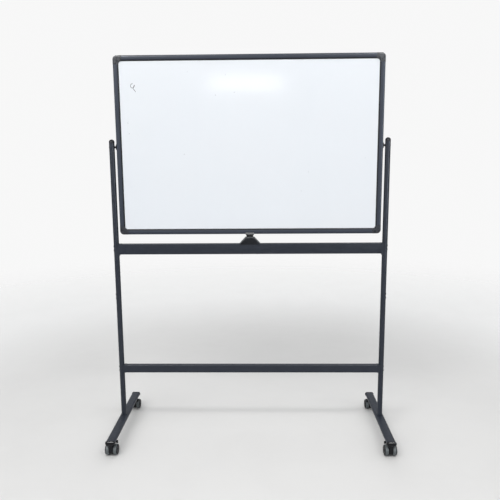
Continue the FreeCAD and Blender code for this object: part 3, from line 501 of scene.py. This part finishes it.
def housing_plastic():
    """The catch's housing: black, with a painted highlight in light grey on its faces that tilt
    part way up.
    """
    look = Look("housing_plastic", (0.006, 0.0069, 0.0098), 0.38, Specular_IOR_Level=0.2)
    look.paint(look.between(look.noise(45, detail=4), 0.4, 0.75, 0, 0.6), (0.01, 0.0115, 0.016))
    # Painted highlight: light grey on faces tilted part way up, broken up by noise.
    lit_edges = look.combine("MULTIPLY", look.facing_up(0.25, 0.5), look.noise(320, detail=3))
    look.paint(look.between(lit_edges, 0.15, 0.4), (0.08, 0.084, 0.092))
    look.roughness(look.noise(90, detail=4), 0.3, 0.5)
    look.bump(look.noise(1500, detail=2), 0.04 * MM, 0.5)
    return look.material


def catch_plastic():
    """The catch: a grey lip with a little wear, and painted shade in near-black on the body below
    the lip.
    """
    look = Look("catch_plastic", (0.105, 0.107, 0.112), 0.45, Specular_IOR_Level=0.25)
    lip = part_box("catch")[1].z - CATCH_LIP
    # Painted shade: below the lip the grey turns near-black.
    look.paint(look.height(lip, lip - CATCH_LIP_BLEND), (0.008, 0.0085, 0.01))
    wear = look.combine("MULTIPLY", look.noise(260, detail=4), look.noise(60, detail=2))
    look.paint(look.between(wear, 0.24, 0.36, 0, 0.35), (0.05, 0.052, 0.056))
    look.roughness(look.noise(120, detail=3), 0.38, 0.55)
    look.bump(look.noise(1300, detail=2), 0.04 * MM, 0.5)
    return look.material


def enamel():
    """Glossy white writing surface with the haze that a dry wiper leaves, and old specks."""
    look = Look(
        "enamel", (0.775, 0.808, 0.85), 0.3,
        Coat_Weight=1.0, Coat_Roughness=0.09, Specular_IOR_Level=0.5,
    )
    wipe = look.noise(26, (1, 1, 0.12), detail=5, rough=0.6, turn=(0, 0.9, 0))
    look.paint(look.between(wipe, 0.35, 0.8, 0, 0.5), (0.765, 0.8, 0.843))
    haze = look.noise(2.6, detail=2, rough=0.4)
    look.paint(look.between(haze, 0.3, 0.8, 0, 0.5), (0.786, 0.812, 0.845))
    specks = look.combine("SUBTRACT", look.noise(6, detail=3), look.cells(75))
    look.paint(look.between(specks, 0.52, 0.62, 0, 0.3), (0.66, 0.7, 0.75))
    look.roughness(wipe, 0.28, 0.36, 0.25, 0.8)
    look.bump(look.noise(7, detail=1), 0.5 * MM, 0.06)
    look.bump(look.noise(420, detail=2), 0.01 * MM, 0.3)
    return look.material


def tread_rubber():
    """Light grey soft tread, marbled, grubby where it has rolled."""
    look = Look("tread_rubber", (0.09, 0.103, 0.108), 0.45, Specular_IOR_Level=0.4)
    marble = look.noise(150, detail=4)
    look.paint(look.between(marble, 0.4, 0.7, 0, 0.6), (0.072, 0.081, 0.085))
    dirt = look.noise(320, (0.35, 1, 1), detail=5, rough=0.75)
    look.paint(look.between(dirt, 0.52, 0.72, 0, 0.7), (0.05, 0.048, 0.045))
    look.roughness(marble, 0.4, 0.62)
    look.bump(look.noise(900, detail=3), 0.08 * MM, 0.6)
    return look.material


def metal(name, colour, roughness, spot_colour):
    """Plated or blackened steel with fine marks and darker spots."""
    look = Look(name, colour, roughness, 1.0)
    look.paint(look.between(look.noise(240, detail=5), 0.48, 0.7, 0, 0.7), spot_colour)
    look.roughness(look.noise(600, detail=3), roughness * 0.75, roughness * 1.35)
    look.bump(look.noise(1900, detail=2), 0.02 * MM, 0.5)
    return look.material


def honeycomb():
    """Raw paper honeycomb, seen only at the core's edges."""
    look = Look("honeycomb", (0.42, 0.31, 0.19), 0.85)
    edge = look.cells(90, feature="DISTANCE_TO_EDGE")
    look.paint(look.between(edge, 0.04, 0.12, 1, 0), (0.24, 0.17, 0.1))
    look.bump(edge, 0.6 * MM, 0.7)
    look.roughness(look.noise(300), 0.75, 0.95)
    return look.material


def ink():
    """Dried marker ink, thin at its edges."""
    look = Look("ink", (0.012, 0.014, 0.022), 0.6, Specular_IOR_Level=0.2)
    look.paint(look.between(look.noise(900, detail=3), 0.45, 0.7, 0, 0.5), (0.06, 0.065, 0.085))
    look.bump(look.noise(2000), 0.01 * MM, 0.4)
    return look.material


def pale_floor():
    """A studio floor, slightly cloudy, paler further out, that fades out far from the object."""
    look = Look("pale_floor", (0.68, 0.672, 0.66), 0.6, Specular_IOR_Level=0.3)
    look.paint(look.between(look.noise(2.2, detail=4), 0.4, 0.7, 0, 0.5), (0.65, 0.642, 0.63))
    gradient = look.node("ShaderNodeTexGradient", gradient_type="SPHERICAL")
    look.wire(look.spread((1 / FLOOR_FADE,) * 3), gradient.inputs["Vector"])
    look.paint(look.between(gradient.outputs["Fac"], 0.45, 0.75, 1, 0), (0.86, 0.855, 0.845))
    look.roughness(look.noise(6, detail=3), 0.45, 0.65)
    look.bump(look.noise(180, detail=2), 0.1 * MM, 0.2)
    look.wire(look.between(gradient.outputs["Fac"], 0.0, 0.6), look.shader.inputs["Alpha"])
    return look.material


COAT = {axis: powder_coat(f"powder_coat_{axis}", axis) for axis in "xyz"}
FRAME = {axis: anodised(f"anodised_{axis}", axis) for axis in "xz"}
SATIN = moulding("satin_moulding", (0.006, 0.0069, 0.0098), 0.38, Specular_IOR_Level=0.2)
CORNER = moulding(
    "corner_moulding", (0.014, 0.016, 0.022), 0.28, grain=1900, lighter=1.4, Specular_IOR_Level=0.5
)
GLOSS = moulding(
    "gloss_moulding", (0.0018, 0.0022, 0.0038), 0.1, grain=500, relief=0.1, Specular_IOR_Level=0.25
)
NYLON = moulding("caster_nylon", (0.0035, 0.004, 0.0055), 0.3, grain=1300, Specular_IOR_Level=0.15)
HOUSING = housing_plastic()
CATCH = catch_plastic()
TREAD = tread_rubber()
ZINC = metal("zinc_steel", (0.55, 0.56, 0.58), 0.32, (0.36, 0.37, 0.38))
BLACKENED = metal("blackened_screws", (0.07, 0.075, 0.085), 0.38, (0.03, 0.032, 0.036))
ENAMEL = enamel()
HONEYCOMB = honeycomb()
INK = ink()


# Stand ----------------------------------------------------------------------------------------

def post(side):
    """Two tubes that meet at the splice, a weld bead on the foot and a domed cap on top."""
    upper_low, upper_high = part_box(f"post_upper_{side}")
    lower_low, lower_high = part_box(f"post_lower_{side}")
    x = (upper_low.x + upper_high.x) / 2
    radius = (upper_high.x - upper_low.x) / 2
    for part, low, high in (
        ("upper", upper_low.z, upper_high.z),
        ("lower", lower_low.z, lower_high.z),
    ):
        profile = [
            (low, 0),
            (low, radius - EDGE_SOFTNESS),
            (low + EDGE_SOFTNESS, radius),
            (high - EDGE_SOFTNESS, radius),
            (high, radius - EDGE_SOFTNESS),
            (high, 0),
        ]
        name = f"post_{part}_{side}"
        tube = lathe(profile, "z", Vector((x, 0, 0)), 64)
        add(f"{name}_tube", tube, COAT["z"], "stand", "stand_steel", name)
    weld_bead(side, x, lower_low.z)
    post_cap(side, x, upper_high.z)


def weld_bead(side, x, floor):
    """A rippled bead of weld round the post, half sunk in the corner with the foot."""
    steps = WELD_RIPPLES * 4
    rings = []
    for step in range(steps):
        angle = 2 * math.pi * step / steps
        swell = 1 + 0.16 * math.sin(WELD_RIPPLES * angle) + random.uniform(-0.07, 0.07)
        ring = []
        for turn in range(10):
            tilt = 2 * math.pi * turn / 10
            reach = WELD_RADIUS + WELD_THICKNESS * swell * math.cos(tilt) * 0.75
            level = floor + WELD_THICKNESS * swell * (0.35 + 0.75 * math.sin(tilt))
            ring.append(Vector((x + reach * math.cos(angle), reach * math.sin(angle), level)))
        rings.append(ring)
    rings.append(rings[0])
    bead = loft(rings, cap=False)
    bmesh.ops.remove_doubles(bead, verts=bead.verts, dist=0.001 * MM)
    add(f"weld_bead_{side}", bead, COAT["y"], "stand", "stand_steel", sharp=60)


def post_cap(side, x, seat):
    """A push-in cap: a short skirt, a fine parting groove and a dome."""
    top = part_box("post_caps")[1]
    radius = top.x - abs(x)
    dome = top.z - radius
    profile = [
        (seat, 0),
        (seat, radius - 0.8 * MM),
        (seat + 0.5 * MM, radius),
        (dome - 1.0 * MM, radius),
        (dome - 0.6 * MM, radius - 0.3 * MM),
        (dome - 0.2 * MM, radius - 0.05 * MM),
    ]
    profile += arc(dome, 0, radius, 88, 4, 14)
    profile.append((dome + radius, 0))
    cap = lathe(profile, "z", Vector((x, 0, 0)), 64)
    add(f"post_cap_{side}", cap, SATIN, "stand", "gloss_caps", "post_caps", sharp=50)


def rail(name):
    low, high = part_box(name)
    outline = rectangle(low.y, high.y, low.z, high.z, RAIL_ROUND)
    tube = prism(outline, "x", low.x, high.x)
    add(f"{name}_tube", tube, COAT["x"], "stand", "stand_steel", name)


def foot(side):
    """A flat oval tube, and a moulded nose with a soft rim at each end."""
    low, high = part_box(f"foot_{side}")
    outline = rectangle(low.x, high.x, low.z, high.z, FOOT_ROUND, 10)
    tube = prism(outline, "y", low.y, high.y)
    add(f"foot_{side}_tube", tube, COAT["y"], "stand", "stand_steel", f"foot_{side}")
    cap_low, cap_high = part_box("foot_end_caps")
    middle = (low.x + high.x) / 2
    half_width = cap_high.x - abs(middle)
    for end, seat in ((-1, low.y), (1, high.y)):
        straight = cap_high.y - abs(seat) - FOOT_NOSE_ROUND
        rings = []
        for depth, along in ((0.4 * MM, 0), (0, 0.4 * MM), (0, straight)):
            rings.append((depth, along))
        for step in range(1, 9):
            angle = math.radians(90 * step / 8)
            rings.append((
                FOOT_NOSE_ROUND * (1 - math.cos(angle)),
                straight + FOOT_NOSE_ROUND * math.sin(angle),
            ))
        skin = []
        for depth, along in rings:
            ring = rectangle(
                middle - half_width + depth, middle + half_width - depth,
                cap_low.z + depth, cap_high.z - depth, FOOT_CAP_ROUND - depth, 10,
            )
            skin.append([along_axis("y", p.x, p.y, seat + end * along) for p in ring])
        where = "front" if end < 0 else "rear"
        name = f"foot_cap_{side}_{where}"
        add(name, loft(skin), GLOSS, "stand", "gloss_caps", "foot_end_caps")


def button_head(centre, axis, outward, radius, height, key_radius):
    """A domed screw head with a hexagonal socket, seated at the centre."""
    profile = [
        (0, 0),
        (0, radius * 0.97),
        (0.12, radius),
        (0.45, radius * 0.97),
        (0.75, radius * 0.85),
        (0.95, radius * 0.66),
        (1.0, key_radius * 1.12),
        (0.97, key_radius * 1.03, 6),
        (0.4, key_radius, 6),
        (0.33, 0),
    ]
    scaled = [(outward * height * along, *rest) for along, *rest in profile]
    return lathe(scaled, axis, centre, 48)


def stand_screws():
    """Socket screws on the posts' outer sides, pan screws under the rail, bolts under the feet."""
    for node, levels in (("rail_screws", 2), ("splice_screws", 1)):
        low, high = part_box(node)
        bottom, top = low.z + SCREW_HEAD_RADIUS, high.z - SCREW_HEAD_RADIUS
        heights = [bottom, top]
        if levels == 2:
            heights += [bottom + SCREW_PITCH, top - SCREW_PITCH]
        for side, outward in (("left", -1), ("right", 1)):
            post_low, post_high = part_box(f"post_upper_{side}")
            face = post_high.x if outward > 0 else post_low.x
            for index, z in enumerate(sorted(heights), start=1):
                head = button_head(
                    Vector((face, 0, z)), "x", outward, SCREW_HEAD_RADIUS,
                    high.x - abs(face), SCREW_HEAD_RADIUS / 2,
                )
                name = f"{node[:-1]}_{side}_{index}"
                add(name, head, BLACKENED, "stand", "black_screws", node, sharp=40)
    low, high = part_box("latch_screws")
    rail_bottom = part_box("mid_rail")[0].z
    radius = (rail_bottom - low.z) * 2
    for side, x in (("left", low.x + radius), ("right", high.x - radius)):
        head = button_head(
            Vector((x, 0, rail_bottom)), "z", -1, radius, rail_bottom - low.z, radius / 2
        )
        name = f"latch_screw_{side}"
        add(name, head, BLACKENED, "stand", "black_screws", "latch_screws", sharp=40)
    low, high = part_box("foot_bolts")
    for side in ("left", "right"):
        foot_low, foot_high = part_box(f"foot_{side}")
        centre = Vector(((foot_low.x + foot_high.x) / 2, 0, foot_low.z))
        drop = low.z - foot_low.z
        head = lathe([
            (0, 0),
            (0, BOLT_HEAD_RADIUS, 6),
            (drop * 0.8, BOLT_HEAD_RADIUS, 6),
            (drop, BOLT_HEAD_RADIUS * 0.84),
            (drop, BOLT_HEAD_RADIUS * 0.5),
            (drop * 0.93, BOLT_HEAD_RADIUS * 0.45),
            (drop * 0.93, 0),
        ], "z", centre, 48)
        name = f"foot_bolt_{side}"
        add(name, head, BLACKENED, "stand", "black_screws", "foot_bolts", sharp=25)


def latch_spring():
    """The catch's return spring, a coil with closed ends, built as one fixed shape."""
    low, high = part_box("latch_spring")
    radius = (high.x - low.x) / 2 - SPRING_WIRE
    rise = high.z - low.z - 2 * SPRING_WIRE
    steps = SPRING_TURNS * 28
    rings = []
    for step in range(steps + 1):
        share = step / steps
        angle = 2 * math.pi * SPRING_TURNS * share
        climb = min(1, max(0, (share - SPRING_CLOSED_END) / (1 - 2 * SPRING_CLOSED_END)))
        level = low.z + SPRING_WIRE + rise * climb
        ring = []
        for turn in range(8):
            tilt = 2 * math.pi * turn / 8
            reach = radius + SPRING_WIRE * math.cos(tilt)
            height = level + SPRING_WIRE * math.sin(tilt)
            ring.append(Vector((reach * math.cos(angle), reach * math.sin(angle), height)))
        rings.append(ring)
    name = "latch_spring"
    coil = add(f"{name}_coil", loft(rings), ZINC, "stand", "inner_steel", name, sharp=60)
    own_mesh(coil)


def show_cad(node, look):
    """A CAD node that stays as it is, with a better material."""
    NODES[node].data.materials.clear()
    NODES[node].data.materials.append(look)


for side in ("left", "right"):
    post(side)
    foot(side)
rail("mid_rail")
rail("low_rail")
stand_screws()
for node in ("mid_rail_saddles", "low_rail_saddles"):
    refine(node, f"{node}_blocks", COAT["x"], "stand", "black_mouldings", 0.35 * MM)
refine("pivot_pins", "pivot_pins_turned", SATIN, "stand", "inner_steel", 0.25 * MM)
refine("caster_sockets", "caster_sockets_moulded", SATIN, "stand", "black_mouldings", 0.2 * MM)
refine("latch_housing", "latch_housing_moulded", HOUSING, "stand", "black_mouldings", 1.0 * MM)
for node in ("splice_sleeves", "caster_stems"):
    show_cad(node, ZINC)
latch_spring()


# Board ----------------------------------------------------------------------------------------

def frame_outline(outer, inward, across_first):
    """The section of a frame member: rounded outside, a lip and a groove towards the panel."""
    low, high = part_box("frame_top")
    half = high.y
    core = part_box("core_panel")[1].y
    crest = outer + inward * FRAME_CREST
    inner = outer + inward * (high.z - low.z)
    floor = inner - inward * FRAME_GROOVE_DEPTH
    corners = [
        (outer, -half, FRAME_ROUND),
        (crest, -half, FRAME_CREST_ROUND),
        (inner, -FRAME_LIP_HALF_DEPTH, FRAME_LIP_ROUND),
        (inner, -core, FRAME_LIP_EDGE),
        (floor, -core, 0),
        (floor, core, 0),
        (inner, core, FRAME_LIP_EDGE),
        (inner, FRAME_LIP_HALF_DEPTH, FRAME_LIP_ROUND),
        (crest, half, FRAME_CREST_ROUND),
        (outer, half, FRAME_ROUND),
    ]
    if across_first:
        corners = [(depth, edge, radius) for edge, depth, radius in corners]
    return rounded(corners, 8)


def board_frame():
    """The four extrusions round the panel."""
    top_low, top_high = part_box("frame_top")
    bottom_low, bottom_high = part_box("frame_bottom")
    left_low, left_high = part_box("frame_left")
    right_low, right_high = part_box("frame_right")
    members = (
        ("frame_top", frame_outline(top_high.z, -1, True), "x", top_low.x, top_high.x),
        ("frame_bottom", frame_outline(bottom_low.z, 1, True), "x", bottom_low.x, bottom_high.x),
        ("frame_left", frame_outline(left_low.x, 1, False), "z", left_low.z, left_high.z),
        ("frame_right", frame_outline(right_high.x, -1, False), "z", right_low.z, right_high.z),
    )
    for name, outline, axis, low, high in members:
        member = prism(outline, axis, low, high, MEMBER_END_SOFTNESS)
        add(f"{name}_extrusion", member, FRAME[axis], "board", "frame_black", name, sharp=28)


def stroke(points, width, level):
    """A flat ribbon of ink along a smooth line through the points, just off the sheet."""
    fine = []
    for index in range(len(points) - 1):
        before = Vector(points[max(index - 1, 0)])
        start, end = Vector(points[index]), Vector(points[index + 1])
        after = Vector(points[min(index + 2, len(points) - 1)])
        for step in range(8):
            t = step / 8
            fine.append(0.5 * (
                2 * start + (end - before) * t
                + (2 * before - 5 * start + 4 * end - after) * t * t
                + (3 * start - before - 3 * end + after) * t * t * t
            ))
    fine.append(Vector(points[-1]))
    bm = bmesh.new()
    rows = []
    for index, point in enumerate(fine):
        heading = fine[min(index + 1, len(fine) - 1)] - fine[max(index - 1, 0)]
        across = Vector((-heading.y, heading.x)).normalized() * width / 2
        across *= random.uniform(0.75, 1.1)
        rows.append([
            bm.verts.new((spot.x, depth, spot.y))
            for spot, depth in (
                (point - across, level), (point - across, level - INK_THICKNESS),
                (point + across, level - INK_THICKNESS), (point + across, level),
            )
        ])
    for row, following in zip(rows, rows[1:]):
        for index in range(4):
            after = (index + 1) % 4
            bm.faces.new((row[index], row[after], following[after], following[index]))
    bm.faces.new(rows[0])
    bm.faces.new(rows[-1])
    return bm


def pen_marks():
    """A forgotten squiggle near one corner and a few dots of marker ink."""
    low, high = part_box("sheet_front")
    width, height = high.x - low.x, high.z - low.z
    across, up = SQUIGGLE_PLACE
    corner = Vector((low.x + across * width, low.z + up * height))
    points = [corner + Vector(point) * MM for point in SQUIGGLE_MM]
    line = stroke(points, SQUIGGLE_WIDTH, low.y)
    add("pen_squiggle", line, INK, "board", "board_white")
    for index, (across, up, size) in enumerate(INK_DOTS, start=1):
        centre = Vector((low.x + across * width, low.z + up * height))
        drift = Vector((random.uniform(-1, 1), random.uniform(-1, 1))) * size * MM
        dot = stroke([centre, centre + drift / 2, centre + drift], size * MM, low.y)
        add(f"pen_dot_{index}", dot, INK, "board", "board_white")


board_frame()
refine("frame_corners", "frame_corners_moulded", CORNER, "board", "corner_black", 0.15 * MM)
refine("pivot_hubs", "pivot_hubs_moulded", SATIN, "board", "black_mouldings", 0.2 * MM)
for node in ("sheet_front", "sheet_rear"):
    show_cad(node, ENAMEL)
show_cad("core_panel", HONEYCOMB)
pen_marks()
refine("catch", "catch_moulded", CATCH, "catch", "catch_grey", 0.4 * MM)


# Casters --------------------------------------------------------------------------------------

def dish_webs(along, radius, angle):
    """Shallow webs across the dish of a wheel's outer face."""
    if DISH_INNER < radius < DISH_OUTER:
        lift = 0.5 + 0.5 * math.cos(DISH_WEBS * angle)
        along += math.copysign(DISH_WEB_HEIGHT, along) * lift
    return along, radius


def wheel(tag, side):
    """A hub with a dished outer face, and a crowned tread with a fine groove."""
    hub_low, hub_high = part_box(f"caster_{tag}_hub_{side}")
    tread_low, tread_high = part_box(f"caster_{tag}_tread_{side}")
    axle_low, axle_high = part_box(f"caster_{tag}_axle")
    middle = (axle_low.x + axle_high.x) / 2
    outward = 1 if hub_low.x + hub_high.x > 2 * middle else -1
    inner_face = abs((hub_low.x if outward > 0 else hub_high.x) - middle)
    outer_face = abs((hub_high.x if outward > 0 else hub_low.x) - middle)
    centre = Vector((middle, (hub_low.y + hub_high.y) / 2, (hub_low.z + hub_high.z) / 2))
    disc = (hub_high.z - hub_low.z) / 2
    tread = (tread_high.z - tread_low.z) / 2
    tread_start = abs((tread_low.x if outward > 0 else tread_high.x) - middle)
    tread_end = abs((tread_high.x if outward > 0 else tread_low.x) - middle)
    barrel = tread - TREAD_THICKNESS
    profile = [
        (inner_face, AXLE_BORE),
        (inner_face, barrel - EDGE_SOFTNESS),
        (inner_face + EDGE_SOFTNESS, barrel),
        (tread_end + 0.3 * MM, barrel),
        (tread_end + 0.3 * MM, disc - 0.3 * MM),
        (tread_end + 0.6 * MM, disc),
    ]
    profile += arc(outer_face - RIM_ROUND, disc - RIM_ROUND, RIM_ROUND, 90, 0)
    profile += [(outer_face - depth * MM, radius * MM) for depth, radius in WHEEL_FACE_MM]
    body = f"{tag}_wheel_{side}"
    mirrored = [(outward * along, radius) for along, radius in profile]
    hub = lathe(mirrored, "x", centre, 72, dish_webs)
    name = f"caster_{tag}_hub_{side}"
    add(f"{name}_moulded", hub, NYLON, body, "caster_black", name, sharp=38)
    width = tread_end - tread_start
    groove = tread_start + width * 0.5
    round_centre = tread - TREAD_SHOULDER - TREAD_CROWN
    rubber = [(tread_start, barrel + 0.05 * MM), (tread_start, round_centre)]
    rubber += arc(tread_start + TREAD_SHOULDER, round_centre, TREAD_SHOULDER, 180, 97, 8)
    rubber += [
        (tread_start + width * 0.36, tread - 0.03 * MM),
        (groove - 0.5 * MM, tread),
        (groove - 0.2 * MM, tread - 0.35 * MM),
        (groove + 0.2 * MM, tread - 0.35 * MM),
        (groove + 0.5 * MM, tread),
        (tread_start + width * 0.64, tread - 0.03 * MM),
    ]
    rubber += arc(tread_end - TREAD_SHOULDER, round_centre, TREAD_SHOULDER, 83, 0, 8)
    rubber.append((tread_end, barrel + 0.05 * MM))
    rubber.append(rubber[0])
    tyre = lathe([(outward * along, radius) for along, radius in rubber], "x", centre, 72)
    bmesh.ops.remove_doubles(tyre, verts=tyre.verts, dist=0.001 * MM)
    name = f"caster_{tag}_tread_{side}"
    add(f"{name}_rubber", tyre, TREAD, body, "tread_grey", name, sharp=50)


def lever_ridges(tag):
    """Three anti-slip bars on the tread plate of the brake lever."""
    low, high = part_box(f"caster_{tag}_brake")
    axle_low, axle_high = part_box(f"caster_{tag}_axle")
    toward = 1 if low.y + high.y > axle_low.y + axle_high.y else -1
    tip = high.y if toward > 0 else low.y
    plate_top = high.z - 0.5 * MM
    for index in range(3):
        y = tip - toward * (3.2 + 3.0 * index) * MM
        outline = rectangle(
            y - 0.6 * MM, y + 0.6 * MM, plate_top - 0.4 * MM, plate_top + 0.5 * MM, 0.4 * MM, 4
        )
        bar = prism(outline, "x", low.x + 7 * MM, high.x - 7 * MM)
        name = f"caster_{tag}_lever_ridge_{index + 1}"
        add(name, bar, NYLON, f"{tag}_lever", "caster_black")


for tag in CASTERS:
    body_node = f"caster_{tag}_body"
    brake_node = f"caster_{tag}_brake"
    refine(body_node, f"{body_node}_moulded", GLOSS, f"{tag}_fork", "caster_black", 0.5 * MM)
    refine(brake_node, f"{brake_node}_moulded", GLOSS, f"{tag}_lever", "caster_black", 0.35 * MM)
    lever_ridges(tag)
    show_cad(f"caster_{tag}_axle", ZINC)
    wheel(tag, "a")
    wheel(tag, "b")


# Studio ---------------------------------------------------------------------------------------

def lamp(name, light, place, target):
    """A light at a place, turned towards a target."""
    made = bpy.data.objects.new(name, light)
    made.location = place
    heading = Vector(target) - Vector(place)
    made.rotation_euler = heading.to_track_quat("-Z", "Y").to_euler()
    bpy.context.scene.collection.objects.link(made)
    return made


def area_light(name, place, target, size, power, colour, seen_by):
    """A rectangular lamp that every ray sees, or only the diffuse or only the glossy ones."""
    light = bpy.data.lights.new(name, "AREA")
    light.shape = "RECTANGLE"
    light.size, light.size_y = size
    light.energy = power
    light.color = colour
    made = lamp(name, light, place, target)
    made.visible_diffuse = seen_by in ("all", "diffuse")
    made.visible_glossy = seen_by in ("all", "glossy")
    return light


def studio():
    """A pale floor, an even white surround, a soft key light and the lamps of the table."""
    bm = bmesh.new()
    bmesh.ops.create_grid(bm, x_segments=24, y_segments=24, size=FLOOR_FADE * 1.2)
    mesh = bpy.data.meshes.new("floor")
    bm.to_mesh(mesh)
    bm.free()
    mesh.materials.append(pale_floor())
    floor = bpy.data.objects.new("floor", mesh)
    bpy.context.scene.collection.objects.link(floor)
    surround()
    key = bpy.data.lights.new("key", "SUN")
    key.energy = KEY_STRENGTH
    key.angle = math.radians(KEY_ANGLE)
    lamp("key", key, KEY_PLACE, KEY_TARGET)
    lights = {row[0]: area_light(*row) for row in LAMPS}
    lights["rear"].spread = math.radians(REAR_SPREAD)


def surround():
    """White to the camera behind the object; to everything else, a glow that grows overhead."""
    world = bpy.data.worlds.new("surround")
    world.use_nodes = True
    bpy.context.scene.world = world
    tree = world.node_tree
    backdrop = tree.nodes["Background"]
    backdrop.inputs["Color"].default_value = BACKDROP
    glow = tree.nodes.new("ShaderNodeBackground")
    glow.inputs["Color"].default_value = SKY_COLOUR
    direction = tree.nodes.new("ShaderNodeTexCoord")
    split = tree.nodes.new("ShaderNodeSeparateXYZ")
    tree.links.new(direction.outputs["Generated"], split.inputs[0])
    rise = tree.nodes.new("ShaderNodeMapRange")
    rise.inputs["From Min"].default_value, rise.inputs["From Max"].default_value = SKY_RISE
    rise.inputs["To Min"].default_value, rise.inputs["To Max"].default_value = SKY_STRENGTH
    tree.links.new(split.outputs["Z"], rise.inputs["Value"])
    tree.links.new(rise.outputs["Result"], glow.inputs["Strength"])
    seen = tree.nodes.new("ShaderNodeLightPath")
    mix = tree.nodes.new("ShaderNodeMixShader")
    tree.links.new(seen.outputs["Is Camera Ray"], mix.inputs["Fac"])
    tree.links.new(glow.outputs[0], mix.inputs[1])
    tree.links.new(backdrop.outputs[0], mix.inputs[2])
    tree.links.new(mix.outputs[0], tree.nodes["World Output"].inputs["Surface"])


def camera():
    """The viewing angle: slightly right of the middle, about the pivots' height, looking down."""
    pitch, yaw, roll = (math.radians(turn) for turn in (CAMERA_PITCH, CAMERA_YAW, CAMERA_ROLL))
    forward = Vector((
        math.sin(yaw) * math.cos(pitch), math.cos(yaw) * math.cos(pitch), -math.sin(pitch)
    ))
    level_right = Vector((math.cos(yaw), -math.sin(yaw), 0))
    level_up = level_right.cross(forward)
    right = level_right * math.cos(roll) + level_up * math.sin(roll)
    up = level_up * math.cos(roll) - level_right * math.sin(roll)
    data = bpy.data.cameras.new("camera")
    data.sensor_width = 36
    data.lens = CAMERA_LENS
    made = bpy.data.objects.new("camera", data)
    turned = Matrix((right, up, -forward)).transposed().to_4x4()
    made.matrix_world = Matrix.Translation(CAMERA_PLACE) @ turned
    bpy.context.scene.collection.objects.link(made)
    bpy.context.scene.camera = made


studio()
camera()
bpy.context.scene.view_settings.view_transform = "Standard"
